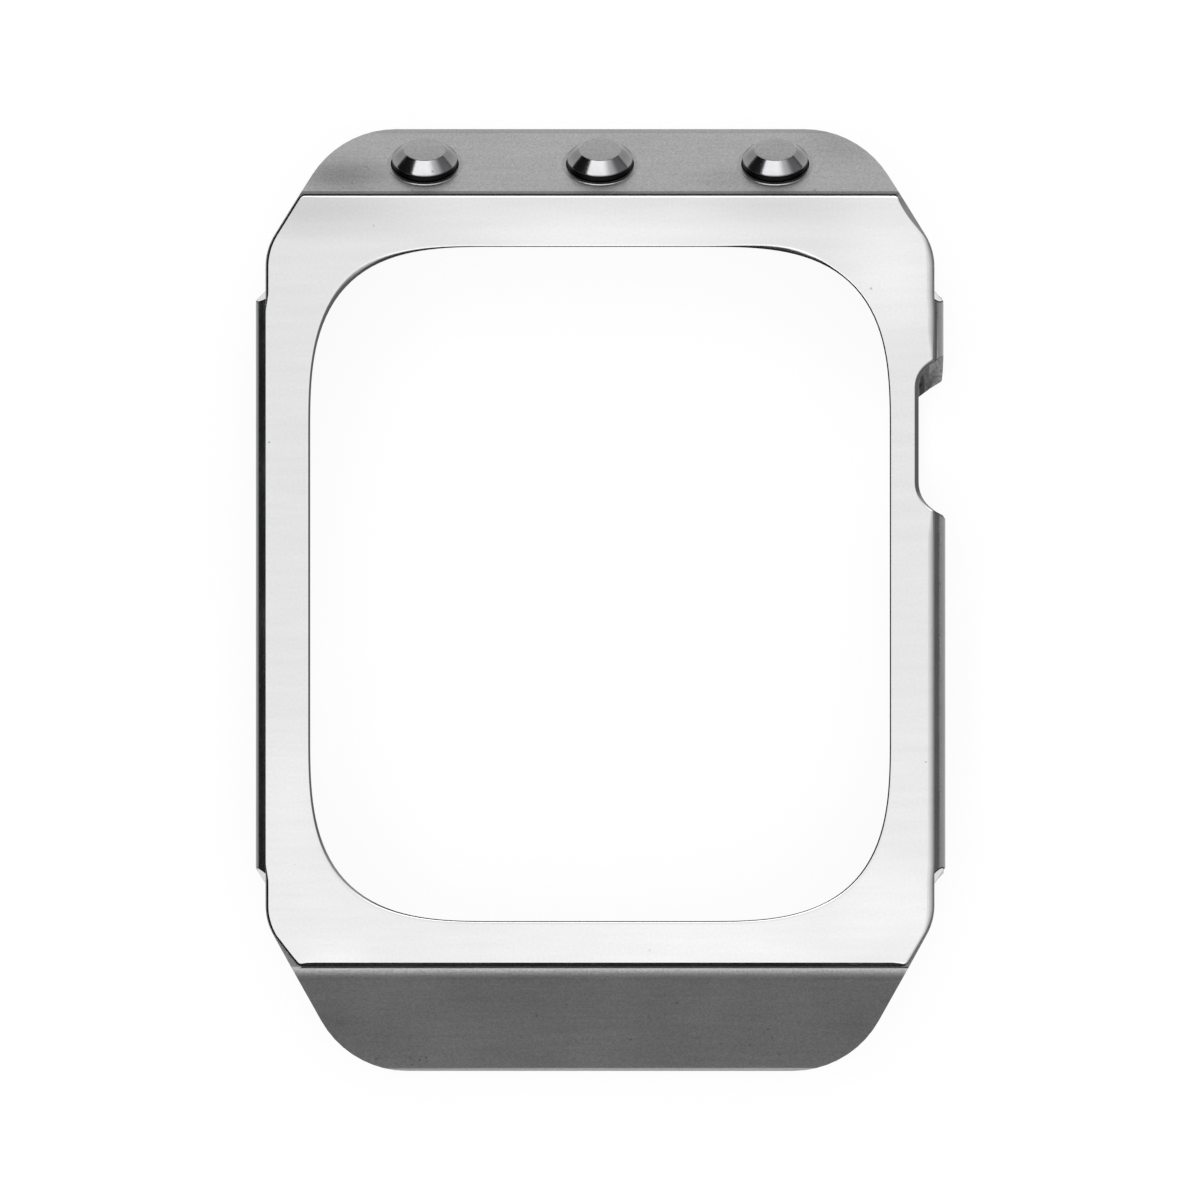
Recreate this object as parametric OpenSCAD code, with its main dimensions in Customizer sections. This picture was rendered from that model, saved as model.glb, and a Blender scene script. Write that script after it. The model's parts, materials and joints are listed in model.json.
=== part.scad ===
// Metal case that closes round a rectangular smartwatch of the 42 mm class.
// It lies on its back, front face up: X runs across it, Y towards the end with the three
// pushers, Z out of the front. The origin is under its middle, on the plane of its back.

/* [Watch inside] */
// Width of the watch
watch_w = 36.4; // [34:0.1:40]
// Height of the watch, from strap to strap
watch_h = 42.5; // [40:0.1:46]
// Corner radius of the watch
watch_corner_r = 9.4; // [8:0.1:11]
// Thickness of the watch body, without the sensor dome on its back
watch_t = 9.4; // [8:0.1:12]
// Gap between the watch and the liner
watch_fit = 0.05; // [0.02:0.01:0.3]
// Height of the crown's centre above the middle of the watch
crown_up = 8.14; // [7:0.1:9]
// Radius of the clearance bore round the crown
crown_bore_r = 3.6; // [3.2:0.1:4]

/* [Liner] */
// Thickness of the liner's side walls
liner_wall = 0.3; // [0.2:0.05:0.6]
// Thickness of the liner's flange, between the watch and the bezel
liner_flange = 0.4; // [0.2:0.05:0.8]
// How far the liner's flange stays back from the edge of the window
liner_setback = 0.4; // [0.2:0.05:0.7]

/* [Front bezel] */
// Thickness of the bezel plate
bezel_t = 1.0; // [0.8:0.1:1.5]
// How far the bezel laps over the watch at the sides
lap_side = 1.35; // [1.1:0.05:1.7]
// How far it laps over the watch at the ends
lap_end = 1.65; // [1.4:0.05:2]
// Length of the window's sides that each soft corner takes
window_soft = 11; // [9:0.1:13]
// Squareness of those corners: 2 is a quarter circle, and more is squarer
window_square = 3.1; // [2.5:0.05:3.6]
// Chamfer round the top edges of the plate
bezel_chamfer = 0.28; // [0.1:0.02:0.4]
// Chamfer round the window
window_chamfer = 0.12; // [0.05:0.01:0.2]
// How far the plate's edge stands back from the body's, except along the guards
bezel_inset = 0.06; // [0.03:0.01:0.3]
// Distance along the guards over which the plate's edge comes out again
bezel_step = 0.9; // [0.5:0.1:1.5]
// Height of the cut across each of the plate's lower corners
corner_cut = 1.78; // [1.4:0.02:2]
// Angle of that cut from the X axis
corner_cut_angle = 52; // [50:1:56]
// Metal of the plate left over the ends of the case screws
screw_cover = 0.45; // [0.3:0.05:0.6]
// Radius of the bosses that take the case screws
boss_r = 1.2; // [1:0.05:1.3]
// Length of those bosses
boss_len = 2.0; // [1.5:0.1:3]

/* [Case body] */
// Thickness of the flanks beside the watch
flank_t = 0.9; // [0.8:0.05:1.5]
// Width of the metal between the bay and the bezel's edge, at the pusher end
top_rim = 1.07; // [0.8:0.01:2]
// The same at the plain end
bottom_rim = 0.66; // [0.4:0.01:1]
// How far the pusher hood reaches past the bezel
top_reach = 3.84; // [3.5:0.02:4.5]
// How far the plain hood reaches past the bezel
bottom_reach = 6.11; // [5.5:0.01:7]
// Slope of the pusher hood below the bezel's plane
top_slope = 56; // [53:0.5:58]
// Slope of the plain hood
bottom_slope = 41.7; // [38:0.5:44]
// Slope at which the plain hood leaves the bezel, before it rounds over to its full slope
bottom_start = 28; // [20:1:36]
// Width of that rounding
bottom_round = 0.8; // [0.4:0.1:1.4]
// Wall of the hoods
hood_wall = 1.2; // [1:0.05:1.4]
// Height of the upright face at the end of each hood
lip_h = 1.0; // [0.8:0.05:1.4]
// Depth of the flat under it
lip_t = 1.2; // [1:0.1:1.5]
// Chamfer on that face's upper edge
lip_chamfer = 0.18; // [0.1:0.02:0.3]
// Thickness of the body's roof beside the window
roof_t = 1.2; // [1:0.05:1.6]
// Width of the way out for the strap at each end
strap_way = 26.4; // [24:0.1:27]
// Length of the slanted corner from the bezel's edge to the straight flank, pusher end
top_shoulder = 3.21; // [2.8:0.01:3.6]
// The same at the plain end
bottom_shoulder = 2.67; // [2.4:0.01:3]
// Angle of the slanted corners from the X axis, pusher end
top_corner_angle = 58.2; // [56:0.2:61]
// The same at the plain end
bottom_corner_angle = 61.1; // [59:0.2:63]
// Radius at the ends of the hoods
hood_corner_r = 5.7; // [4.5:0.1:6]
// Radius where the slanted corners meet the flanks
shoulder_r = 3.5; // [2:0.1:4]
// Wall of the bosses inside the pusher hood, round the tubes
boss_wall = 0.6; // [0.4:0.05:0.8]

/* [Back frame] */
// Thickness of the back frame
back_t = 1.2; // [1:0.05:1.5]
// How far the back frame laps under the edge of the watch
back_lap = 0.9; // [0.6:0.05:1.3]
// Corner radius of its opening
back_corner_r = 8.6; // [7:0.1:9.5]
// How far it reaches past the bay at each end
back_rim = 0.42; // [0.3:0.02:0.6]
// Chamfer on its lower edges
back_chamfer = 0.25; // [0.1:0.05:0.4]

/* [Side guards] */
// How far the guards stand out from the bezel's sides
guard_proud = 0.65; // [0.4:0.05:1]
// Depth of the flanks' pockets for the guards
guard_seat = 0.3; // [0.2:0.05:0.4]
// Length of the guards along the flanks
guard_len = 34.5; // [33:0.1:35.5]
// How far the guards' middle lies below the middle of the watch
guard_shift = 0.2; // [0:0.05:0.5]
// Run of the guards' slanted ends, pusher end
guard_end_hi = 0.6; // [0.4:0.05:1.2]
// The same at the plain end
guard_end_lo = 0.95; // [0.6:0.05:1.2]
// Distance from the body's top to the guards' upper edge
guard_drop = 0.7; // [0.5:0.05:1]
// Angle from the vertical at which the guards' rounded shoulder starts beside the bezel
guard_start = 25; // [15:1:40]
// Run and drop of the bevel on the guards' slanted ends
guard_bevel = 0.35; // [0.2:0.05:0.45]
// Height of the belly that draws in towards the back
guard_belly = 3.0; // [2:0.1:4]
// How far it draws in
guard_tuck = 0.3; // [0.2:0.05:0.6]
// Length of the slot for the side button
button_slot_len = 12; // [10:0.1:12.6]
// Length of the slot for the loudspeaker
sound_slot_len = 10; // [8:0.1:12.6]
// Height of both slots
slot_h = 4.6; // [4.4:0.1:5]
// How far both slots lie below the middle of the watch
slot_down = 6.9; // [6.5:0.1:7.2]

/* [Crown notch] */
// Reach of the notch from the crown's centre towards the pusher end
notch_up = 2.73; // [2.5:0.01:2.9]
// The same towards the plain end
notch_down = 3.19; // [2.9:0.01:3.4]
// How far the notch in the bezel goes in past the bay's wall
notch_in = 0.02; // [0.01:0.01:0.1]
// Angle at which the notch's walls open outwards
notch_flare = 36; // [30:1:42]
// Tilt of the notch's wall towards the pusher end
notch_tilt = 8.5; // [5:0.5:9]
// How far the bezel's edge stands back from the foot of that slanted wall
notch_back = 1.52; // [1.3:0.01:1.7]
// Radius of the corners at the bottom of the notch
notch_r = 1.9; // [1.2:0.05:2.4]

/* [Screws] */
// Radius of the case screws
screw_r = 0.5; // [0.4:0.05:0.6]
// Radius of their heads
screw_head_r = 1.0; // [0.8:0.05:1.1]
// Distance of the case screws from the bay's rounded corners
screw_out = 1.55; // [1.5:0.05:1.7]
// Radius of the guard screws
pin_r = 0.4; // [0.3:0.02:0.5]
// Radius of their heads
pin_head_r = 0.75; // [0.6:0.05:0.9]
// Distance of the outer guard screws from the ends of the guards
pin_inset = 2.1; // [1.8:0.1:2.5]
// Metal of the guards left over the ends of the guard screws
pin_cover = 0.3; // [0.2:0.05:0.4]
// Width of the screwdriver slots
driver_slot = 0.25; // [0.15:0.05:0.35]

/* [Pushers] */
// Radius of a button's rim
button_r = 1.9; // [1.7:0.02:2]
// Radius of its flat top
button_top_r = 1.18; // [1:0.02:1.4]
// Height of the rim's edge above the hood
rim_up = 0.44; // [0.3:0.02:0.7]
// Height of the bright chamfer above the rim
chamfer_up = 0.61; // [0.4:0.02:0.8]
// Distance between neighbouring pushers
pusher_pitch = 10.2; // [9:0.1:11]
// Distance of the pushers down the slope from the bezel's edge
pusher_down = 3.15; // [3:0.05:3.4]
// Travel of a button
travel = 0.6; // [0.3:0.05:0.7]
// Running gap round a button
button_gap = 0.075; // [0.04:0.005:0.1]
// Wall of the tube that guides a button
tube_wall = 0.18; // [0.15:0.01:0.3]
// Overhang of the tube's collar on the hood
collar_over = 0.06; // [0.05:0.01:0.2]
// Height of the collar
collar_h = 0.04; // [0.03:0.01:0.1]
// Thickness of the tube's floor
floor_t = 0.4; // [0.3:0.05:0.5]
// Room between that floor and a pressed button
floor_gap = 0.1; // [0.05:0.01:0.2]
// Radius of a button's stem
stem_r = 0.6; // [0.5:0.02:0.7]
// Running gap round the stem
stem_gap = 0.03; // [0.02:0.01:0.06]
// Skirt of the button below the hood's face
skirt_down = 0.5; // [0.4:0.02:0.56]
// Radius of the gasket ring's section
gasket_r = 0.125; // [0.1:0.005:0.13]
// Depth of the gasket's middle below the hood's face
gasket_down = 0.14; // [0.1:0.01:0.2]
// How far the spring's recess rises into the button
recess_up = 0.2; // [0.1:0.02:0.3]
// Thickness of the retaining clip
clip_t = 0.2; // [0.15:0.01:0.25]
// Radius of the retaining clip
clip_r = 1.15; // [1:0.05:1.2]
// Radius of the spring's wire
wire_r = 0.085; // [0.07:0.005:0.1]
// Mean radius of the spring's turns
coil_r = 1.03; // [0.9:0.01:1.1]
// Turns of the spring
coil_turns = 4; // [3:0.5:5]

/* [Hidden] */

$fn = 64;
// Steps in each rounded corner of an outline
arc_steps = 9;
// Clearance between pieces that are pushed together by hand
slip = 0.02;
// Clearance on either side of a gasket, clip or spring in its groove
groove_gap = 0.01;
// Overshoot of a cutting shape past the face that it cuts
over = 1;
// Radii of the plate's and the back frame's small corners
plate_r = 0.5;
cut_r = 0.8;
step_r = 1.5;
back_r = 0.6;

// The bay that holds the watch and its liner
bay_x = watch_w / 2 + watch_fit + liner_wall;
bay_y = watch_h / 2 + watch_fit + liner_wall;
bay_r = watch_corner_r + watch_fit + liner_wall;
// Half width of the body and of the bezel
case_x = bay_x + flank_t;
// Half sizes of the window
window_x = watch_w / 2 - lap_side;
window_y = watch_h / 2 - lap_end;

// The middle of the watch, set so that the hoods reach equally far from the origin
mid_y = (bottom_rim + bottom_reach - top_rim - top_reach) / 2;
bay_top = mid_y + bay_y;
bay_bottom = mid_y - bay_y;
plate_top = bay_top + top_rim;
plate_bottom = bay_bottom - bottom_rim;
end_top = plate_top + top_reach;
end_bottom = plate_bottom - bottom_reach;

// Heights
body_top = back_t + watch_t + liner_flange;
case_t = body_top + bezel_t;
roof_z = body_top - roof_t;
slot_z = back_t + watch_t / 2;
end_z_top = body_top - top_reach * tan(top_slope);
// Radius and drop of the rounding at the start of the plain hood
round_r = bottom_round / (sin(bottom_slope) - sin(bottom_start));
round_drop = round_r * (cos(bottom_start) - cos(bottom_slope));
end_z_bottom = body_top - round_drop - (bottom_reach - bottom_round) * tan(bottom_slope);

// Ends of the straight flanks
shoulder_top = plate_top - top_shoulder;
shoulder_bottom = plate_bottom + bottom_shoulder;

// Crown notch
crown_y = mid_y + crown_up;
notch_x = bay_x - notch_in;
notch_hi = crown_y + notch_up;
notch_lo = crown_y - notch_down;
// Length of the notch's side that the round in its corner takes
notch_ease = notch_r * tan((90 - notch_flare) / 2);

// Side guards
seat_x = case_x - guard_seat;
guard_x = case_x + guard_proud;
guard_hi = mid_y - guard_shift + guard_len / 2;
guard_lo = mid_y - guard_shift - guard_len / 2;
guard_z = body_top - guard_drop;
guard_round = guard_proud / (1 - sin(guard_start));
slot_y = mid_y - slot_down;

// Case screws stand in the metal outside the bay's rounded corners
screw_reach = (bay_r + screw_out) * sin(45);
screw_at = [
    for (sx = [-1, 1], sy = [-1, 1])
        [sx * (bay_x - bay_r + screw_reach), mid_y + sy * (bay_y - bay_r + screw_reach)]
];
screw_head_t = screw_head_r - screw_r;
thread_end = case_t - screw_cover;

// Guard screws: beyond each end of the openings, and one between slot and notch
slot_end = slot_y + button_slot_len / 2;
notch_mouth = notch_lo - (case_x - bay_x) * tan(notch_flare);
pin_at = [guard_hi - pin_inset, (slot_end + notch_mouth) / 2, guard_lo + pin_inset];
pin_head_t = pin_head_r - pin_r;
pin_end = guard_x - pin_cover;
// The face of their heads is level with the bay's wall
pin_face = bay_x;

// Pushers, measured along their own axis from the hood's face
pusher_y = plate_top + pusher_down * cos(top_slope);
pusher_z = body_top - pusher_down * sin(top_slope);
pusher_x = [-pusher_pitch, 0, pusher_pitch];
bore_r = button_r + button_gap;
barrel_r = bore_r + tube_wall;
tube_depth = skirt_down + travel + floor_gap + floor_t;
floor_top = floor_t - tube_depth;
// The gasket all but touches the bore and the bottom of its groove
groove_r = bore_r - 2 * (gasket_r + groove_gap);
groove_half = gasket_r + groove_gap;
recess_r = coil_r + wire_r + 2 * button_gap;
clip_top = -tube_depth - groove_gap;
clip_groove_r = stem_r * 0.7;
clip_mouth = clip_groove_r * 1.6;
stem_chamfer = stem_r / 6;
// The stem ends as far below the clip's groove as the stem's wall there is thick, and a chamfer
stem_end = clip_top - clip_t - (stem_r - clip_groove_r) - stem_chamfer;
rim_chamfer = 0.06;

function unit(v) = v / norm(v);

// The shorter way round from angle a to angle b
function turn(a, b) = (b - a) > 180 ? b - a - 360 : (b - a) < -180 ? b - a + 360 : b - a;

// The arc that rounds the corner b, between its neighbours a and c
function fillet(a, b, c, r) =
    r <= 0 ? [b] :
    let (
        u = unit(a - b),
        w = unit(c - b),
        half = acos(u * w) / 2,
        m = b + unit(u + w) * r / sin(half),
        p = b + u * r / tan(half) - m,
        q = b + w * r / tan(half) - m,
        start = atan2(p[1], p[0]),
        sweep = turn(start, atan2(q[1], q[0]))
    )
    [for (i = [0:arc_steps]) let (t = start + sweep * i / arc_steps) m + r * [cos(t), sin(t)]];

// An outline through corner points, each given as [x, y, radius]
function rounded(c) =
    let (n = len(c), p = [for (v = c) [v[0], v[1]]])
    [for (i = [0:n - 1]) each fillet(p[(i + n - 1) % n], p[i], p[(i + 1) % n], c[i][2])];

// The same corners on the other side, in running order
function mirrored(c) = [for (i = [len(c) - 1:-1:0]) [-c[i][0], c[i][1], c[i][2]]];

// Half width of the case where a line at y crosses its slanted corners
function top_half(y) = case_x - (y - shoulder_top) / tan(top_corner_angle);
function bottom_half(y) = case_x - (shoulder_bottom - y) / tan(bottom_corner_angle);

// Corners of one side of an outline with the case's slanted corners
function side_corners(hi, lo, half, r_hi, r_lo) = [
    [bottom_half(lo), lo, r_lo],
    [half, shoulder_bottom - (case_x - half) * tan(bottom_corner_angle), shoulder_r],
    [half, shoulder_top + (case_x - half) * tan(top_corner_angle), shoulder_r],
    [top_half(hi), hi, r_hi],
];

// The plate's cut corners, and the round above each, which its slanted side limits
cut_y = plate_bottom + corner_cut;
cut_x = bottom_half(cut_y) - bezel_inset;
foot_x = cut_x - corner_cut / tan(corner_cut_angle);
head_x = top_half(plate_top) - bezel_inset;
slant_len = (shoulder_bottom - cut_y) / sin(bottom_corner_angle);
heel_r = min(shoulder_r, 0.85 * slant_len / tan((90 - bottom_corner_angle) / 2));

// One side of the bezel's outline, which comes out to the body's flank along the guards
function bezel_corners() =
    let (half = case_x - bezel_inset, near = bezel_step / 4)
    [
        [foot_x, plate_bottom, plate_r],
        [cut_x, cut_y, cut_r],
        [half, shoulder_bottom, heel_r],
        [half, guard_lo + near, step_r],
        [case_x, guard_lo + near + bezel_step, step_r],
        [case_x, guard_hi - near - bezel_step, step_r],
        [half, guard_hi - near, step_r],
        [half, shoulder_top, shoulder_r],
        [head_x, plate_top, plate_r],
    ];

// Plan of the crown notch, with its upper corner moved back and rounded
function notch_plan(back, r_hi) =
    let (reach = guard_x - notch_x + over, flare = reach * tan(notch_flare))
    rounded([
        [notch_x, notch_lo, notch_r],
        [notch_x + reach, notch_lo - flare, 0],
        [notch_x + reach, notch_hi + back + flare, 0],
        [notch_x, notch_hi + back, r_hi],
    ]);

body_side = side_corners(end_top, end_bottom, case_x, hood_corner_r, hood_corner_r);
bezel_side = bezel_corners();

body_outline = rounded(concat(body_side, mirrored(body_side)));
bezel_outline = rounded(concat(bezel_side, mirrored(bezel_side)));

module rounded_box(x, y, r, z, h) {
    translate([0, mid_y, z])
        linear_extrude(h)
            polygon(rounded([[x, -y, r], [x, y, r], [-x, y, r], [-x, -y, r]]));
}

// The window grown by out on all sides: its corners are quarters of a superellipse
module window_shape(out, z, h) {
    e = window_soft + out;
    function quarter(sx, sy) = [
        for (i = [0:2 * arc_steps])
            let (t = 45 * i / arc_steps)
            [
                sx * (window_x - window_soft + e * pow(cos(t), 2 / window_square)),
                sy * (window_y - window_soft + e * pow(sin(t), 2 / window_square)),
            ]
    ];
    function back(points) = [for (i = [len(points) - 1:-1:0]) points[i]];
    translate([0, mid_y, z])
        linear_extrude(h)
            polygon(concat(
                quarter(1, 1), back(quarter(-1, 1)), quarter(-1, -1), back(quarter(1, -1))));
}

// A shape drawn in Y and Z, carried across the case
module across(points, half) {
    rotate([90, 0, 90])
        translate([0, 0, -half])
            linear_extrude(2 * half)
                polygon(points);
}

// A wedge that bevels the edge from a to b at height z, with the metal on its left:
// run is the bevel's width on the upper face and drop its height on the side
module edge_bevel(a, b, z, run, drop) {
    past = over * drop / run;
    translate([a[0], a[1], z])
        rotate([0, 0, atan2(b[1] - a[1], b[0] - a[0])])
            rotate([90, 0, 90])
                translate([0, 0, -over])
                    linear_extrude(norm(b - a) + 2 * over)
                        polygon([[-over, past], [-over, -drop - past], [run + over, past]]);
}

// Everything the crown needs out of the right-hand side
module crown_notch() {
    ease = notch_lo + notch_ease;
    translate([0, 0, -over])
        linear_extrude(case_t + 2 * over)
            polygon(notch_plan(0, 0));
    translate([0, notch_hi, back_t])
        rotate([-notch_tilt, 0, 0])
            translate([0, -notch_hi, 0])
                linear_extrude(case_t)
                    polygon(notch_plan(0, 0));
    translate([bay_x - 2 * over, ease, -over])
        cube([2 * over + flank_t / 2, notch_hi - ease, case_t + 2 * over]);
    translate([bay_x - 2 * over, crown_y, slot_z])
        rotate([0, 90, 0])
            cylinder(h = guard_x - bay_x + 4 * over, r = crown_bore_r);
}

// A long hole with round ends through one flank and its guard
module side_slot(length, side) {
    run = (length - slot_h) / 2;
    translate([side * (bay_x + 1), slot_y, slot_z])
        rotate([0, 90, 0]) {
            for (s = [-1, 1])
                translate([0, s * run, -2 * over])
                    cylinder(h = 4 * over, d = slot_h);
            translate([-slot_h / 2, -run, -2 * over])
                cube([slot_h, 2 * run, 4 * over]);
        }
}

// Places its children along a guard screw, seen from the bay outwards
module at_pins(side) {
    for (y = pin_at)
        translate([0, y, slot_z])
            rotate([0, 90 * side, 0])
                children();
}

module at_pusher(i) {
    translate([pusher_x[i], pusher_y, pusher_z])
        rotate([-top_slope, 0, 0])
            children();
}

// Chamfers on one side of the plate: its slanted and cut corners, the flank and half of each end
module bezel_bevels() {
    inset = [bezel_inset, 0];
    foot = [foot_x, plate_bottom];
    cut = [cut_x, cut_y];
    heel = [case_x, shoulder_bottom];
    knee = [case_x, shoulder_top];
    head = [head_x, plate_top];
    edges = [
        [[0, plate_bottom], foot], [foot, cut], [cut, heel - inset],
        [heel, knee], [knee - inset, head], [head, [0, plate_top]],
    ];
    for (e = edges)
        edge_bevel(e[0], e[1], case_t, bezel_chamfer, bezel_chamfer);
}

module front_bezel() {
    color("#e6e7e9")
    difference() {
        union() {
            difference() {
                translate([0, 0, body_top])
                    linear_extrude(bezel_t)
                        polygon(bezel_outline);
                for (flip = [0, 1])
                    mirror([flip, 0, 0])
                        bezel_bevels();
            }
            for (p = screw_at)
                translate([p[0], p[1], body_top - boss_len])
                    cylinder(h = boss_len + bezel_t / 2, r = boss_r);
        }
        window_shape(0, body_top - over, bezel_t + 2 * over);
        hull() {
            window_shape(0, case_t - window_chamfer, slip);
            window_shape(window_chamfer, case_t, slip);
        }
        translate([0, 0, body_top - over])
            linear_extrude(bezel_t + 2 * over)
                polygon(notch_plan(notch_back, notch_r));
        for (p = screw_at)
            translate([p[0], p[1], body_top - boss_len - over])
                cylinder(h = thread_end + 2 * slip - body_top + boss_len + over, r = screw_r);
    }
}

module body_shell() {
    intersection() {
        linear_extrude(case_t)
            polygon(body_outline);
        across([
            [plate_top, body_top],
            [end_top - lip_chamfer, end_z_top + lip_chamfer * tan(top_slope)],
            [end_top, end_z_top - lip_chamfer],
            [end_top, end_z_top - lip_h],
            [end_top - lip_t, end_z_top - lip_h],
            [bay_top + back_rim, back_t],
            [bay_bottom - back_rim, back_t],
            [end_bottom + lip_t, end_z_bottom - lip_h],
            [end_bottom, end_z_bottom - lip_h],
            [end_bottom, end_z_bottom - lip_chamfer],
            [end_bottom + lip_chamfer, end_z_bottom + lip_chamfer * tan(bottom_slope)],
            for (i = [arc_steps:-1:0])
                let (t = bottom_start + (bottom_slope - bottom_start) * i / arc_steps)
                [
                    plate_bottom - round_r * (sin(t) - sin(bottom_start)),
                    body_top - round_r * (cos(bottom_start) - cos(t)),
                ],
        ], case_x + over);
    }
}

// The hollow under both hoods, open below and at the ends, where the strap passes
module strap_hollow() {
    far = end_top + over;
    under_top = body_top - hood_wall / cos(top_slope);
    under_bottom = body_top - round_drop + bottom_round * tan(bottom_slope)
        - hood_wall / cos(bottom_slope);
    across([
        [plate_top + (under_top - roof_z) / tan(top_slope), roof_z],
        [far, under_top - (far - plate_top) * tan(top_slope)],
        [far, -over],
        [-far, -over],
        [-far, under_bottom - (plate_bottom + far) * tan(bottom_slope)],
        [plate_bottom - (under_bottom - roof_z) / tan(bottom_slope), roof_z],
    ], strap_way / 2);
}

module case_body() {
    color("#8f9194")
    difference() {
        union() {
            difference() {
                body_shell();
                strap_hollow();
            }
            intersection() {
                body_shell();
                for (i = [0:2])
                    at_pusher(i)
                        translate([0, 0, -tube_depth])
                            cylinder(h = tube_depth - hood_wall / 2, r = barrel_r + boss_wall);
            }
        }
        rounded_box(bay_x, bay_y, bay_r, -over, case_t + 2 * over);
        crown_notch();
        side_slot(button_slot_len, 1);
        side_slot(sound_slot_len, -1);
        for (s = [-1, 1]) {
            translate([s > 0 ? seat_x : -seat_x - 2 * over, guard_lo - slip, 0])
                cube([2 * over, guard_len + 2 * slip, guard_z + slip]);
            at_pins(s) {
                cylinder(h = guard_x, r = pin_r + slip);
                translate([0, 0, pin_face - 4 * over])
                    cylinder(h = 4 * over, r = pin_head_r + slip);
                translate([0, 0, pin_face])
                    cylinder(h = pin_head_t, r1 = pin_head_r + slip, r2 = pin_r + slip);
            }
        }
        for (p = screw_at)
            translate([p[0], p[1], 0]) {
                cylinder(h = case_t, r = screw_r + slip);
                translate([0, 0, body_top - boss_len - slip])
                    cylinder(h = boss_len + over, r = boss_r + slip);
            }
        for (i = [0:2])
            at_pusher(i)
                translate([0, 0, -tube_depth - over])
                    cylinder(h = tube_depth + 2 * over, r = barrel_r);
    }
}

// Section of a guard: a rounded shoulder, an upright face and a belly drawn in to the back
module guard_blank() {
    section = concat(
        [[seat_x, back_t], [seat_x, guard_z]],
        [for (i = [0:arc_steps])
            let (t = guard_start + (90 - guard_start) * i / arc_steps)
            [
                guard_x - guard_round * (1 - sin(t)),
                guard_z - guard_round * (cos(guard_start) - cos(t)),
            ]],
        [for (i = [0:arc_steps])
            let (t = 90 * i / arc_steps)
            [guard_x - guard_tuck * (1 - cos(t)), back_t + guard_belly * (1 - sin(t))]]
    );
    difference() {
        intersection() {
            translate([0, guard_hi, 0])
                rotate([90, 0, 0])
                    linear_extrude(guard_len)
                        polygon(section);
            linear_extrude(case_t)
                polygon([
                    [seat_x - over, guard_lo], [case_x, guard_lo], [guard_x, guard_lo + guard_end_lo],
                    [guard_x, guard_hi - guard_end_hi], [case_x, guard_hi], [seat_x - over, guard_hi],
                ]);
        }
        edge_bevel(
            [guard_x, guard_hi - guard_end_hi], [case_x, guard_hi],
            guard_z, guard_bevel, 2 * guard_bevel);
        edge_bevel(
            [case_x, guard_lo], [guard_x, guard_lo + guard_end_lo],
            guard_z, guard_bevel, 2 * guard_bevel);
    }
}

module guard_holes() {
    at_pins(1)
        translate([0, 0, seat_x - over])
            cylinder(h = pin_end + 2 * slip - seat_x + over, r = pin_r);
}

module left_side_guard() {
    color("#5d5f62")
    difference() {
        mirror([1, 0, 0])
            difference() {
                guard_blank();
                guard_holes();
            }
        side_slot(sound_slot_len, -1);
    }
}

// The right-hand guard is in two lengths, one on either side of the crown notch
module right_guard(length_lo, length_hi) {
    color("#5d5f62")
    difference() {
        intersection() {
            guard_blank();
            translate([seat_x - over, length_lo, 0])
                cube([guard_x, length_hi - length_lo, case_t]);
        }
        guard_holes();
        side_slot(button_slot_len, 1);
        crown_notch();
    }
}

module back_frame() {
    hi = bay_top + back_rim;
    lo = bay_bottom - back_rim;
    side = side_corners(hi, lo, seat_x, back_r, back_r);
    color("#7c7e81")
    difference() {
        linear_extrude(back_t)
            polygon(rounded(concat(side, mirrored(side))));
        translate([0, 0, -over])
            linear_extrude(back_t + 2 * over)
                polygon(notch_plan(0, 0));
        rounded_box(
            watch_w / 2 - back_lap, watch_h / 2 - back_lap, back_corner_r, -over, back_t + 2 * over);
        for (p = screw_at)
            translate([p[0], p[1], 0]) {
                translate([0, 0, -over])
                    cylinder(h = back_t + 2 * over, r = screw_r + slip);
                translate([0, 0, back_chamfer])
                    cylinder(h = screw_head_t, r1 = screw_head_r + slip, r2 = screw_r + slip);
                translate([0, 0, -over])
                    cylinder(h = back_chamfer + over, r = screw_head_r + slip);
            }
    }
}

module liner() {
    color("#1c1d1f")
    difference() {
        rounded_box(bay_x - slip, bay_y - slip, bay_r - slip, back_t, body_top - back_t);
        rounded_box(
            watch_w / 2 + watch_fit, watch_h / 2 + watch_fit, watch_corner_r + watch_fit,
            back_t - over, watch_t + over);
        window_shape(liner_setback, back_t, case_t);
        crown_notch();
        side_slot(button_slot_len, 1);
        side_slot(sound_slot_len, -1);
        translate([-strap_way / 2, end_bottom, back_t - over])
            cube([strap_way, end_top - end_bottom, roof_z - back_t + over]);
    }
}

module case_screws() {
    color("#b9bbbe")
    for (p = screw_at)
        translate([p[0], p[1], back_chamfer])
            difference() {
                union() {
                    cylinder(h = screw_head_t, r1 = screw_head_r, r2 = screw_r);
                    cylinder(h = thread_end - back_chamfer, r = screw_r);
                }
                translate([-screw_head_r - over, -driver_slot / 2, -over])
                    cube([2 * (screw_head_r + over), driver_slot, over + screw_head_t / 2]);
            }
}

module guard_screws() {
    color("#b9bbbe")
    for (s = [-1, 1])
        at_pins(s)
            translate([0, 0, pin_face])
                difference() {
                    union() {
                        cylinder(h = pin_head_t, r1 = pin_head_r, r2 = pin_r);
                        cylinder(h = pin_end - pin_face, r = pin_r);
                    }
                    translate([-driver_slot / 2, -pin_head_r - over, -over])
                        cube([driver_slot, 2 * (pin_head_r + over), over + pin_head_t / 2]);
                }
}

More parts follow.
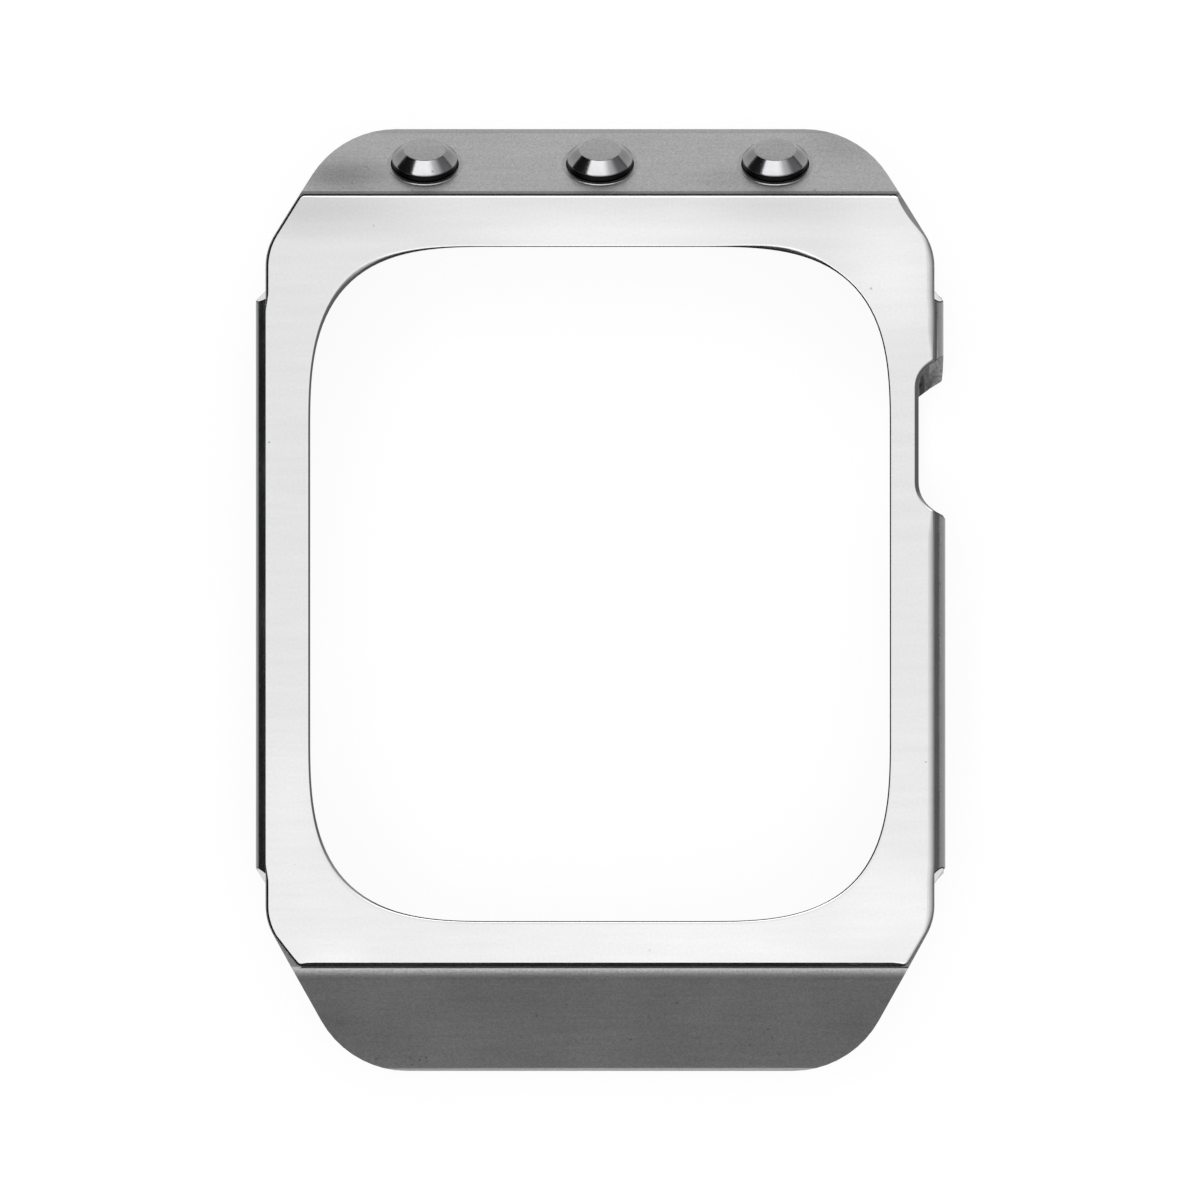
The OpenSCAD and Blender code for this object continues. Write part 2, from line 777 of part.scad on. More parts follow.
// Cap and stem turned in one piece, drawn as half a section and revolved
module button(i) {
    color("#c9cbce")
    at_pusher(i)
        rotate_extrude()
            polygon([
                [0, stem_end],
                [stem_r - stem_chamfer, stem_end],
                [stem_r, stem_end + stem_chamfer],
                [stem_r, clip_top - clip_t - groove_gap],
                [clip_groove_r, clip_top - clip_t - groove_gap],
                [clip_groove_r, clip_top + groove_gap],
                [stem_r, clip_top + groove_gap],
                [stem_r, recess_up],
                [recess_r, recess_up],
                [recess_r, -skirt_down],
                [button_r, -skirt_down],
                [button_r, -gasket_down - groove_half],
                [groove_r, -gasket_down - groove_half],
                [groove_r, -gasket_down + groove_half],
                [button_r, -gasket_down + groove_half],
                [button_r, rim_up - rim_chamfer],
                [button_r - rim_chamfer, rim_up],
                [button_top_r, rim_up + chamfer_up],
                [0, rim_up + chamfer_up],
            ]);
}

// Cup that guides the button, with a collar on the hood and a floor that holds the spring
module tube(i) {
    color("#9b9da0")
    at_pusher(i)
        rotate_extrude()
            polygon([
                [stem_r + stem_gap, -tube_depth],
                [barrel_r, -tube_depth],
                [barrel_r, 0],
                [barrel_r + collar_over, 0],
                [barrel_r + collar_over, collar_h / 2],
                [barrel_r + collar_over - collar_h / 2, collar_h],
                [bore_r, collar_h],
                [bore_r, floor_top],
                [stem_r + stem_gap, floor_top],
            ]);
}

// Spring: one wire wound in a helix, six-sided and ten rings a turn
module spring(i) {
    rings = floor(coil_turns * 10);
    low = floor_top + wire_r + groove_gap;
    high = recess_up - wire_r - groove_gap;
    points = [
        for (k = [0:rings], j = [0:5])
            let (
                a = 360 * coil_turns * k / rings,
                r = coil_r + wire_r * cos(60 * j + 30),
                z = low + (high - low) * k / rings + wire_r * sin(60 * j + 30)
            )
            [r * cos(a), r * sin(a), z]
    ];
    walls = [
        for (k = [0:rings - 1], j = [0:5])
            let (p = 6 * k + j, q = 6 * k + (j + 1) % 6)
            each [[p, p + 6, q + 6], [p, q + 6, q]]
    ];
    last = 6 * rings;
    caps = concat(
        [for (j = [1:4]) [0, j, j + 1]],
        [for (j = [1:4]) [last, last + j + 1, last + j]]
    );
    color("#d4d5d7")
    at_pusher(i)
        polyhedron(points = points, faces = concat(walls, caps));
}

module gasket(i) {
    color("#111214")
    at_pusher(i)
        rotate_extrude()
            translate([groove_r + groove_half, -gasket_down])
                circle(r = gasket_r);
}

// Open washer that snaps into the stem's groove under the tube's floor
module clip(i) {
    color("#b0b2b5")
    at_pusher(i)
        translate([0, 0, clip_top - clip_t])
            difference() {
                cylinder(h = clip_t, r = clip_r);
                translate([0, 0, -over])
                    cylinder(h = clip_t + 2 * over, r = clip_groove_r + groove_gap);
                translate([0, -clip_mouth / 2, -over])
                    cube([clip_r + over, clip_mouth, clip_t + 2 * over]);
            }
}

front_bezel();
case_body();
left_side_guard();
right_guard(crown_y, guard_hi + over);  // right_upper_guard
right_guard(guard_lo - over, crown_y);  // right_lower_guard
back_frame();
liner();
case_screws();
guard_screws();
button(0);  // left_button
button(1);  // centre_button
button(2);  // right_button
tube(0);  // left_tube
tube(1);  // centre_tube
tube(2);  // right_tube
spring(0);  // left_spring
spring(1);  // centre_spring
spring(2);  // right_spring
gasket(0);  // left_gasket
gasket(1);  // centre_gasket
gasket(2);  // right_gasket
clip(0);  // left_clip
clip(1);  // centre_clip
clip(2);  // right_clip
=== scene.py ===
# %% [markdown]
# Steel case for a rectangular smartwatch, dressed in Blender over its CAD frame.
# The case is a machined body with sloping hoods, a polished front plate with a window,
# two side guards and three sprung pushers. We build the eye-catching pieces as surfaces
# worked out with numpy, finish copies of the CAD solids with small bevels for the rest,
# and give each real finish one node material.

# %% Load the frame
import json

import bmesh
import bpy
import numpy as np
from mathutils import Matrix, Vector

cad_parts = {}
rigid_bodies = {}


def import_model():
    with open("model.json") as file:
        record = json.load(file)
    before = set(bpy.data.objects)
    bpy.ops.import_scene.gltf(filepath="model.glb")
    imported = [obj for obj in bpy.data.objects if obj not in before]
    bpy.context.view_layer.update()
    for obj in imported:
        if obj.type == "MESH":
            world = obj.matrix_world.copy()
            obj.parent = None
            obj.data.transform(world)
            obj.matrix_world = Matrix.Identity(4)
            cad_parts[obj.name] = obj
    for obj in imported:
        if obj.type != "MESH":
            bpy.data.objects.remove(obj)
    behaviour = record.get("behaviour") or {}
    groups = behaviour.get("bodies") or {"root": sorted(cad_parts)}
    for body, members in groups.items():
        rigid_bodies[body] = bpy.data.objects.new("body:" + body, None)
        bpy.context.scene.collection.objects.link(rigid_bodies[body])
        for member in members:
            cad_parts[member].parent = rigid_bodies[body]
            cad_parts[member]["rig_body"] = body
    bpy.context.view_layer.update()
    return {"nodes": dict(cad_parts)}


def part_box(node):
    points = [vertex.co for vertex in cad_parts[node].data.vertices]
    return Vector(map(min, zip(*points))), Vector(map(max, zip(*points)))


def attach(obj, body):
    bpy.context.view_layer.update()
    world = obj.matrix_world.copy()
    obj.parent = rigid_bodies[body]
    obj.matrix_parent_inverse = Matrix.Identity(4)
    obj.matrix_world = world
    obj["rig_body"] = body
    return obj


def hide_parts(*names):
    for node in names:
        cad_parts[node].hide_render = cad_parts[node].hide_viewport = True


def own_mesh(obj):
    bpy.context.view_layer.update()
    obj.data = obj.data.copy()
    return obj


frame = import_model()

MM = 0.001

# %% [markdown]
# Everything below is written in millimetres, the way the case is drawn, and turned to metres
# when a mesh is made. The plate's reach and height and the guards' length are read from the
# frame, so that a changed CAD size carries over.

# %% Sizes
plate_lo, plate_hi = (np.array(corner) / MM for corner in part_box("front_bezel"))
guard_lo, guard_hi = (np.array(corner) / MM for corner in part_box("left_side_guard"))
PLATE_TOP_Z = plate_hi[2]
PLATE_THICK = 1.0
SEAM_Z = PLATE_TOP_Z - PLATE_THICK
print("plate:", plate_lo.round(2), plate_hi.round(2))

# %% [markdown]
# Colours are written as sRGB hex values, as a paint chart gives them. Blender's shaders work
# in linear light, so one function turns each hex value into linear numbers. A second one adds
# any shader node, and a third multiplies what such nodes give.

# %% Colour and node helpers


def colour(hex_code):
    """sRGB hex to linear RGBA: c / 12.92 when dark, otherwise ((c + 0.055) / 1.055) ^ 2.4."""
    c = np.array([int(hex_code[i:i + 2], 16) for i in (1, 3, 5)]) / 255
    linear = np.where(c <= 0.04045, c / 12.92, ((c + 0.055) / 1.055) ** 2.4)
    return (*linear.tolist(), 1.0)


def add(tree, kind, inputs=None, **settings):
    """Adds a node: settings are its attributes, and inputs are numbers, or the sockets or nodes
    that feed it. A node feeds with the first output that it offers."""
    made = tree.nodes.new("ShaderNode" + kind)
    for name, value in settings.items():
        setattr(made, name, value)
    for name, value in (inputs or {}).items():
        if isinstance(value, bpy.types.Node):
            value = next(socket for socket in value.outputs if socket.enabled)
        if isinstance(value, bpy.types.NodeSocket):
            tree.links.new(value, made.inputs[name])
        else:
            made.inputs[name].default_value = value
    return made


def product(tree, *factors):
    """The product of nodes, sockets and numbers. It may pass 1."""
    level = factors[0]
    for factor in factors[1:]:
        level = add(tree, "Math", {0: level, 1: factor}, operation="MULTIPLY")
    return level


def new_material(name):
    """An empty node material with its node tree, and its Object coordinates in metres."""
    made = bpy.data.materials.new(name)
    made.use_nodes = True
    made.node_tree.nodes.clear()
    return made, made.node_tree, add(made.node_tree, "TexCoord").outputs["Object"]


# %% [markdown]
# Worked metal is never one even tone, and the finishes of this case share a few patterns: a tone
# that wanders, rare specks, soft patches, and bands that follow an edge. Each is a short chain of
# procedural nodes in the object's own measure, so nothing has to be painted or unwrapped.

# %% Patterns


def wandering(tree, place, size_mm, low, high, detail=3.0, roughness=0.5):
    """A noise of patches size_mm across, whose middle range is stretched to run low to high."""
    noise = add(tree, "TexNoise", {
        "Vector": place, "Scale": 1 / (size_mm * MM), "Detail": detail, "Roughness": roughness})
    return add(tree, "MapRange", {
        "Value": noise, "From Min": 0.3, "From Max": 0.7, "To Min": low, "To Max": high})


def specks(tree, place, cell_mm, chance, size):
    """Spots of 1 in the middle of some cells cell_mm across. A cell's random number has to pass
    chance for it to have one, and the spot fades out between the two distances in size."""
    cell = add(tree, "TexVoronoi", {"Vector": place, "Scale": 1 / (cell_mm * MM)})
    lot = add(tree, "SeparateColor", {"Color": cell.outputs["Color"]})
    kept = add(tree, "MapRange", {
        "Value": lot.outputs["Red"], "From Min": chance[0], "From Max": chance[1]})
    near = add(tree, "MapRange", {
        "Value": cell.outputs["Distance"], "From Min": size[0], "From Max": size[1],
        "To Min": 1.0, "To Max": 0.0})
    return product(tree, kept, near)


def patches(tree, place, spots):
    """Product of soft oval patches. Each (x, y, half width, half height, change) in mm is
    1 + change in its middle and falls to 1 at its rim by a smooth step."""
    level = 1.0
    for x, y, wide, high, change in spots:
        local = add(tree, "VectorMath", {0: place, 1: (x * MM, y * MM, 0)}, operation="SUBTRACT")
        local = add(tree, "VectorMath", {
            0: local, 1: (1 / (wide * MM), 1 / (high * MM), 0)}, operation="MULTIPLY")
        away = add(tree, "VectorMath", {0: local}, operation="LENGTH")
        patch = add(tree, "MapRange", {
            "Value": away, "To Min": 1 + change, "To Max": 1.0}, interpolation_type="SMOOTHSTEP")
        level = product(tree, level, patch)
    return level


def bands(tree, place, steps):
    """Product of smooth steps. Each (axis, low, high, before, after) goes from before to after
    while the place along its axis goes from low to high, in mm."""
    parts = add(tree, "SeparateXYZ", {"Vector": place})
    level = 1.0
    for axis, low, high, before, after in steps:
        step = add(tree, "MapRange", {
            "Value": parts.outputs[axis], "From Min": low * MM, "From Max": high * MM,
            "To Min": before, "To Max": after}, interpolation_type="SMOOTHSTEP")
        level = product(tree, level, step)
    return level


def toned(tree, base, *factors):
    """A colour times all the factors, whose product isn't held below 1."""
    return add(
        tree, "Mix", {
            "Factor": product(tree, *factors), "A": colour("#000000"), "B": colour(base)},
        data_type="RGBA", clamp_factor=False)


def shaded(tree, base, haze, height, height_mm, more):
    """Ends a material: one shader with its colour, roughness and more, over a bump."""
    bump = add(tree, "Bump", {"Height": height, "Distance": height_mm * MM, "Strength": 1.0})
    shader = add(tree, "BsdfPrincipled", {
        "Base Color": base, "Roughness": haze, "Normal": bump, **more})
    add(tree, "OutputMaterial", {"Surface": shader})


# %% [markdown]
# The front plate is polished stainless steel. A polished sheet mirrors its surroundings, but it
# isn't a perfect mirror: the buffing leaves it slightly wavy, its haze changes from place to
# place, and a few tiny pits stay behind. The waves are a noise with a height of a hundredth of a
# millimetre, and the pits sit in Voronoi cells of 1.6 mm, of which only the rarest are kept. A
# hand-held wheel also leaves faint streaks along the plate's width. Soft oval patches make some
# places brighter or darker than others: they are painted reflections.

# %% Polished stainless steel


def polished_steel(name, base, rough, wave_mm, wave_height_mm, spots=()):
    """Metal with a wandering haze, buffing waves and streaks, rare pits, and painted reflections.
    """
    material, tree, place = new_material(name)
    drawn = add(tree, "VectorMath", {0: place, 1: (1 / 9, 1, 1)}, operation="MULTIPLY")
    tone = toned(
        tree, base, wandering(tree, place, 0.16, 0.98, 1.02, 2.0),
        wandering(tree, drawn, 0.7, 0.98, 1.02), patches(tree, place, spots))
    pitted = add(tree, "Mix", {
        "Factor": specks(tree, place, 1.6, chance=(0.72, 0.98), size=(0.025, 0.06)),
        "A": tone, "B": colour("#6E6E70")}, data_type="RGBA")
    wave = add(tree, "TexNoise", {"Vector": place, "Scale": 1 / (wave_mm * MM), "Detail": 1.0})
    haze = wandering(tree, place, 5, rough * 0.8, rough * 1.3, 3.0, 0.55)
    shaded(tree, pitted, haze, wave, wave_height_mm, {"Metallic": 1.0})
    return material


# Soft oval patches that brighten or darken the plate: painted reflections.
PLATE_REFLECTION_SPOTS = [
    (0.5, 21.2, 13, 2.2, 0.14), (-16.5, 22.8, 9, 2.5, -0.18), (10.5, 22.9, 6.5, 1.3, -0.1),
    (17.0, 19.0, 5, 6, 0.13), (6, -19.6, 14, 3.5, 0.06), (17, -17.5, 5, 3.5, 0.07),
    (-18, -11, 3, 6, 0.05), (-15.5, -20.6, 3, 1.2, 0.07)]
PITCH = 10.2
# Dark patches on both sides of each pusher's polished bevel: painted reflections.
CHAMFER_REFLECTION_SPOTS = [
    (x + side * 1.5, 26.1, 1.0, 1.3, -0.45) for x in (-PITCH, 0, PITCH) for side in (-1, 1)]
PLATE_FINISH = polished_steel(
    "polished_stainless_plate", "#D6D6D7", 0.13, 9.0, 0.012, PLATE_REFLECTION_SPOTS)
# Lit and shaded copies of the plate's steel for the guards: the darker long faces and the darker
# left guard are painted shade, and the lighter shoulder is painted light.
GUARD_FINISH = polished_steel("polished_stainless_guard", "#828284", 0.2, 9.0, 0.004)
SHADED_LEFT_GUARD_FINISH = polished_steel("shaded_left_guard_steel", "#656567", 0.2, 9.0, 0.004)
LIT_SHOULDER_FINISH = polished_steel("lit_guard_shoulder_steel", "#C2C2C4", 0.2, 9.0, 0.004)
CHAMFER_FINISH = polished_steel(
    "turned_and_polished_pusher", "#9A9A9C", 0.15, 1.2, 0.004, CHAMFER_REFLECTION_SPOTS)
# Polished steel painted nearly black: painted shade for the pushers' sides in the gap round each
# cap, and for the guards' rounded edges.
PAINTED_SHADE_FINISH = polished_steel("painted_shade_dark_steel", "#262628", 0.3, 1.2, 0.004)

# %% [markdown]
# The body is the same steel, blasted with glass beads before the plate goes on. The beads leave
# dimples of some 0.05 mm that scatter light, so the hoods read as a soft, even grey with a fine
# grain. That grain is too fine for the picture, so it is drawn at 0.12 mm. A slow cloud and a
# few darker specks keep the grey from looking printed. Painted shade makes the body nearly black
# in the seam under the plate's edge and darker on a narrow strip below it on the pusher end, and
# steps along the length paint a highlight under the plate's lower edge and shade further out. Soft
# patches of painted light and shade lie on the hoods.

# %% Bead-blasted steel
GRAIN_MM = 0.12
# Soft patches that darken or lighten the hoods: painted light and shade.
BODY_LIGHT_AND_SHADE_SPOTS = [(-15, 24.7, 4.5, 1.5, -0.38), (7.5, 24.5, 3.5, 1.0, -0.12),
              (14, 26.6, 3.5, 2.0, -0.14), (-4.5, 26, 3, 1.2, 0.04),
              (-15.5, -25, 3, 2.5, -0.12), (15, -24.5, 3, 3, -0.12)]
PITTED = [(-11, -26.6, 5, 1.0, -1.0), (9, -26.0, 6, 1.6, -1.0)]


def seam_light_and_shade(tree, place):
    """Painted light and shade of the body near the seam under the plate: painted shade nearly black
    in the seam and at half brightness on a strip below it on the pusher end, and steps along y
    that paint a highlight under the plate's lower edge and shade on the lower hood and far top
    edge."""
    black = add(tree, "Math", {
        0: bands(tree, place, [("Z", SEAM_Z - 0.07, SEAM_Z - 0.03, 1.0, 0.06)]),
        1: bands(tree, place, [("X", -17.5, -17.3, 0.8, 0.0)])}, operation="MAXIMUM")
    # Brightness steps along y: a painted highlight under the plate's lower edge, and painted shade
    # on the lower hood and at the top hood's far edge.
    edge_light_and_shade = bands(tree, place, [
        ("Y", -22.1, -21.4, 0.87, 1.6), ("Y", -21.4, -21.0, 1.0, 0.64),
        ("Y", 27.15, 27.3, 1.0, 0.72)])
    strip = bands(tree, place, [
        ("Z", SEAM_Z - 0.3, SEAM_Z - 0.24, 0.0, 1.0), ("Y", 19.9, 20.1, 0.0, 1.0)])
    dimmed = add(tree, "Math", {0: strip, 1: -0.5, 2: 1.0}, operation="MULTIPLY_ADD")
    return [black, edge_light_and_shade, dimmed]


def blasted_steel(name, base, rough, height_mm=0.005, on_body=False):
    """Satin metal: fine grain in height and tone, slow cloud and streaks, and rare dark specks.

    On the body, these are added: painted shade and highlights near its seam, patches of painted
    light and shade, and its pitted corners."""
    material, tree, place = new_material(name)
    drawn = add(tree, "VectorMath", {0: place, 1: (1 / 14, 1, 1)}, operation="MULTIPLY")
    factors = [
        wandering(tree, place, GRAIN_MM, 0.82, 1.18, 2.5, 0.6),
        wandering(tree, place, 4, 0.98, 1.02, 4.0, 0.6), wandering(tree, drawn, 0.3, 0.96, 1.04)]
    dark = specks(tree, place, 0.9, chance=(0.6, 0.95), size=(0.04, 0.11))
    if on_body:
        factors += [*seam_light_and_shade(tree, place), patches(tree, place, BODY_LIGHT_AND_SHADE_SPOTS)]
        pitted = add(tree, "Math", {0: 1.0, 1: patches(tree, place, PITTED)}, operation="SUBTRACT")
        pores = specks(tree, place, 0.42, chance=(0.45, 0.9), size=(0.13, 0.24))
        dark = add(
            tree, "Math", {0: dark, 1: product(tree, pores, pitted)}, operation="MAXIMUM")
    specked = add(tree, "Mix", {
        "Factor": dark, "A": toned(tree, base, *factors), "B": colour("#77777A")},
        data_type="RGBA")
    grain = add(tree, "TexNoise", {
        "Vector": place, "Scale": 1 / (GRAIN_MM * MM), "Detail": 2.5, "Roughness": 0.6})
    haze = wandering(tree, place, 4, rough * 0.97, rough * 1.03, 4.0, 0.6)
    shaded(tree, specked, haze, grain, height_mm, {"Metallic": 1.0})
    return material


BODY_FINISH = blasted_steel("bead_blasted_stainless", "#ABABAC", 0.38, on_body=True)
# A darker copy of the body's finish for the flat rim under the plate: painted shade.
SHADED_RIM_FINISH = blasted_steel("shaded_body_rim", "#7C7C7D", 0.38)
FRAME_FINISH = blasted_steel("bead_blasted_back_frame", "#B0B0B1", 0.38)
TOP_FINISH = blasted_steel("satin_pusher_face", "#A0A0A1", 0.36, height_mm=0.004)

# %% [markdown]
# The walls of the crown notch are cut after blasting and left as the milling cutter leaves them:
# darker than the rest, with fine upright lines. The lines are a noise that is drawn out sixteen
# times along the height. Oxide and compound make the walls nearly matt, so they are shaded as a
# dark paint and not as a mirror.

# %% Milled notch walls


def milled_steel(name, base, line_mm, spots=()):
    """Dull dark wall with upright tool lines in tone and height, and soft patches."""
    material, tree, place = new_material(name)
    drawn = add(tree, "VectorMath", {0: place, 1: (1, 1, 1 / 16)}, operation="MULTIPLY")
    level = product(
        tree, wandering(tree, drawn, line_mm, 0.55, 1.45), patches(tree, place, spots))
    level = add(tree, "Math", {0: level, 1: 0.02}, operation="MAXIMUM")
    lines = add(tree, "TexNoise", {"Vector": drawn, "Scale": 1 / (line_mm * MM), "Detail": 3.0})
    shaded(tree, toned(tree, base, level), 0.7, lines, 0.01, {"Specular IOR Level": 0.1})
    return material


# Its one patch darkens the milled wall to near black in a narrow wedge: painted shade.
MILLED_FINISH = milled_steel(
    "milled_notch_wall", "#4E4E4F", 0.12, [(18.77, 12.42, 0.18, 0.8, -6.0)])
GUARD_CUT_FINISH = milled_steel("milled_guard_end", "#7C7C7D", 0.16)

# %% [markdown]
# Screws, tubes, clips and springs are turned or drawn from bar and wire. A turning tool leaves
# rings, and a drawing die leaves lines along the wire. Both are a wave texture with very little
# height, so that they only stretch the highlights. Blender's rings turn through 20 radians in
# one unit of the scale, so a line_mm of 0.08 draws them half a millimetre apart.

# %% Turned steel and spring wire
RADIANS_PER_UNIT = 20


def turned_steel(name, base, rough, line_mm):
    """Bright metal with machining lines 2 pi line_mm apart, in the height and the roughness."""
    material, tree, place = new_material(name)
    lines = add(tree, "TexWave", {
        "Vector": place, "Scale": 1 / (line_mm * MM) / RADIANS_PER_UNIT, "Distortion": 1.5,
        "Detail": 2.0}, wave_type="RINGS", rings_direction="Z").outputs["Fac"]
    haze = add(tree, "MapRange", {"Value": lines, "To Min": rough * 0.85, "To Max": rough * 1.2})
    shaded(tree, colour(base), haze, lines, 0.001, {"Metallic": 1.0})
    return material


SCREW_FINISH = turned_steel("turned_stainless_screw", "#C9C9CC", 0.24, 0.08)
TUBE_FINISH = turned_steel("turned_stainless_tube", "#CDCDD0", 0.18, 0.08)
WIRE_FINISH = turned_steel("drawn_spring_wire", "#D2D2D6", 0.2, 0.05)

# %% [markdown]
# The liner is moulded silicone: soft, almost black and matt, with the mould's fine texture. The
# gasket rings are nitrile rubber, a little shinier because they are greased. Both get a bump of
# fine noise and a roughness that wanders, with a touch of sheen on the silicone.

# %% Silicone and nitrile


def rubber(name, base, rough, grain_mm, sheen):
    """Dark dielectric with a fine moulded texture."""
    material, tree, place = new_material(name)
    grain = add(tree, "TexNoise", {"Vector": place, "Scale": 1 / (grain_mm * MM), "Detail": 3.0})
    haze = add(tree, "MapRange", {"Value": grain, "To Min": rough * 0.85, "To Max": rough * 1.1})
    shaded(tree, colour(base), haze, grain, 0.006, {"IOR": 1.41, "Sheen Weight": sheen})
    return material


LINER_FINISH = rubber("moulded_silicone", "#242528", 0.62, 0.15, 0.2)
GASKET_FINISH = rubber("nitrile_rubber", "#1A1A1C", 0.42, 0.08, 0.0)

# %% [markdown]
# Each new piece is a grid of points with one index along its length and one round its section.
# One function turns such a grid into a mesh, closing it in either direction, and hands it to the
# CAD body that carries it. The object itself stays at the origin: its place is in its points.

# %% From grid to piece


def grid_quads(rows, columns, close_rows, close_columns):
    """Corner numbers of the quads between neighbouring points of a rows x columns grid."""
    r = np.arange(rows if close_rows else rows - 1)
    c = np.arange(columns if close_columns else columns - 1)
    r, c = np.meshgrid(r, c, indexing="ij")
    r2, c2 = (r + 1) % rows, (c + 1) % columns
    corners = [r * columns + c, r2 * columns + c, r2 * columns + c2, r * columns + c2]
    return np.stack(corners, -1).reshape(-1, 4)


def put(name, data):
    """A new object at the scene's origin."""
    made = bpy.data.objects.new(name, data)
    bpy.context.scene.collection.objects.link(made)
    return made


def dress(mesh, finishes, numbers=None):
    """Gives a mesh its finishes, and its faces the numbers of theirs."""
    mesh.materials.clear()
    for finish in finishes:
        mesh.materials.append(finish)
    if numbers is not None:
        mesh.polygons.foreach_set("material_index", numbers.astype(np.int32))


def make_piece(name, node, points, quads, finishes, body, material_of=None):
    """Points in mm and quads become a smooth piece that rides on a body and replaces a node,
    unless that is None. Points on one spot, as in a ring of radius 0, are merged into one."""
    mesh = bpy.data.meshes.new(name)
    mesh.from_pydata((points * MM).tolist(), [], quads.tolist())
    dress(mesh, finishes, material_of)
    work = bmesh.new()
    work.from_mesh(mesh)
    bmesh.ops.remove_doubles(work, verts=work.verts, dist=1e-8)
    work.to_mesh(mesh)
    work.free()
    mesh.shade_smooth()
    mesh.update()
    piece = put(name, mesh)
    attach(piece, body)
    if node:
        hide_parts(node)
    print(name, len(mesh.polygons), "faces")
    return piece


# %% [markdown]
# The front plate is one ring of steel sheet: an outline with slanted corners and the crown notch
# outside, and a large rounded window inside. An extruded drawing would have knife edges, and a
# polished sheet never has. So the plate is a loft: rows of points run round it, and each row is
# the outline or the window drawn in or out by a set amount, at its own height.

# %% The plate's corners
WINDOW_X, WINDOW_Y, WINDOW_MID_Y = 16.85, 19.6, 0.93
WINDOW_SOFT, WINDOW_SQUARE = 11.0, 3.1
CASE_X = plate_hi[0]
FLANK_X = CASE_X - 0.06
SHOULDER_TOP, SHOULDER_BOTTOM = plate_hi[1] - 3.21, plate_lo[1] + 2.67
SLANT_TOP = np.radians(58.2)
CUT_X, CUT_Y, FOOT_X, RIGHT_FOOT_X = 18.90, plate_lo[1] + 1.78, 17.51, 17.81
NOTCH_X, NOTCH_LO, NOTCH_HI, NOTCH_R, NOTCH_END_R = 18.53, 5.88, 13.32, 1.9, 0.3
NOTCH_FLARE = (CASE_X - NOTCH_X) * np.tan(np.radians(36))
STEP_IN, STEP_LONG, STEP_R = 0.225, 0.9, 1.5


def unit(vectors):
    """The same directions with length 1."""
    return vectors / np.linalg.norm(vectors, axis=-1, keepdims=True)


def rounded(corners, inset, steps):
    """Outline through [x, y, radius] corners, every side moved in by inset.

    A corner's point slides along its bisector by inset / sin(half its angle). Its arc keeps the
    same centre, so the radius shrinks by inset at an outer corner and grows at an inner one."""
    c = np.array(corners, float)
    p, r = c[:, :2], c[:, 2]
    back, ahead = unit(np.roll(p, 1, 0) - p), unit(np.roll(p, -1, 0) - p)
    half = np.arccos(np.clip((back * ahead).sum(1), -1, 1)) / 2
    bisector = unit(back + ahead)
    outer = np.sign(back[:, 1] * ahead[:, 0] - back[:, 0] * ahead[:, 1])
    p = p + bisector * (outer * inset / np.sin(half))[:, None]
    r = np.maximum(r - outer * inset, 0.04)
    middle = p + bisector * (r / np.sin(half))[:, None]
    start = p + back * (r / np.tan(half))[:, None] - middle
    end = p + ahead * (r / np.tan(half))[:, None] - middle
    a = np.arctan2(start[:, 1], start[:, 0])
    sweep = (np.arctan2(end[:, 1], end[:, 0]) - a + np.pi) % (2 * np.pi) - np.pi
    angle = a[:, None] + sweep[:, None] * np.linspace(0, 1, steps)
    return middle[:, None] + r[:, None, None] * np.stack([np.cos(angle), np.sin(angle)], -1)


def with_sides(arcs, pieces_per_side):
    """Joins the arcs by straight sides, each cut into equal lengths; the counts stay fixed."""
    rows = []
    for arc, following, count in zip(arcs, np.roll(arcs, -1, 0), pieces_per_side):
        t = np.linspace(0, 1, count + 1)[1:-1, None]
        rows += [arc, arc[-1] * (1 - t) + following[0] * t]
    return np.concatenate(rows)


def side_counts(arcs, longest):
    """How many lengths each side needs for none to be longer than longest."""
    gaps = np.linalg.norm(np.roll(arcs, -1, 0)[:, 0] - arcs[:, -1], axis=1)
    return np.maximum(1, np.ceil(gaps / longest)).astype(int)


head_x = FLANK_X - (plate_hi[1] - SHOULDER_TOP) / np.tan(SLANT_TOP)
right_side = [
    [RIGHT_FOOT_X, plate_lo[1], 0.6],
    [FLANK_X, SHOULDER_BOTTOM, 3.3],
    [FLANK_X, guard_lo[1] + STEP_IN, STEP_R],
    [CASE_X, guard_lo[1] + STEP_IN + STEP_LONG, STEP_R],
    [CASE_X, NOTCH_LO - NOTCH_FLARE, NOTCH_END_R],
    [NOTCH_X, NOTCH_LO, NOTCH_R],
    [NOTCH_X, NOTCH_HI, NOTCH_R],
    [CASE_X, NOTCH_HI + NOTCH_FLARE, NOTCH_END_R],
    [CASE_X, guard_hi[1] - STEP_IN - STEP_LONG, STEP_R],
    [FLANK_X, guard_hi[1] - STEP_IN, STEP_R],
    [FLANK_X, SHOULDER_TOP, 3.5],
    [head_x, plate_hi[1], 0.5],
]
cut_corner = [[FOOT_X, plate_lo[1], 0.5], [CUT_X, CUT_Y, 0.8]]
left_side = [[-x, y, r] for x, y, r in cut_corner + right_side[1:4] + right_side[8:]][::-1]
plate_corners = right_side + left_side
print("plate corners:", len(plate_corners))

# %% [markdown]
# The window's corners aren't arcs. They leave the straight sides slowly, like a quarter of a
# superellipse: at angle a from its middle, a corner of size e has the radius
# e / (cos(a) ^ n + sin(a) ^ n) ^ (1 / n). With n = 2 that would be a circle, and here n is 3.1.

# %% The window's outline
OUTER_STEPS, WINDOW_STEPS, LONGEST_SIDE = 9, 40, 0.8


def outer_outline(inset):
    """The plate's outline drawn in by inset."""
    arcs = rounded(plate_corners, inset, OUTER_STEPS)
    fixed = side_counts(rounded(plate_corners, 0, OUTER_STEPS), LONGEST_SIDE)
    return with_sides(arcs, fixed)


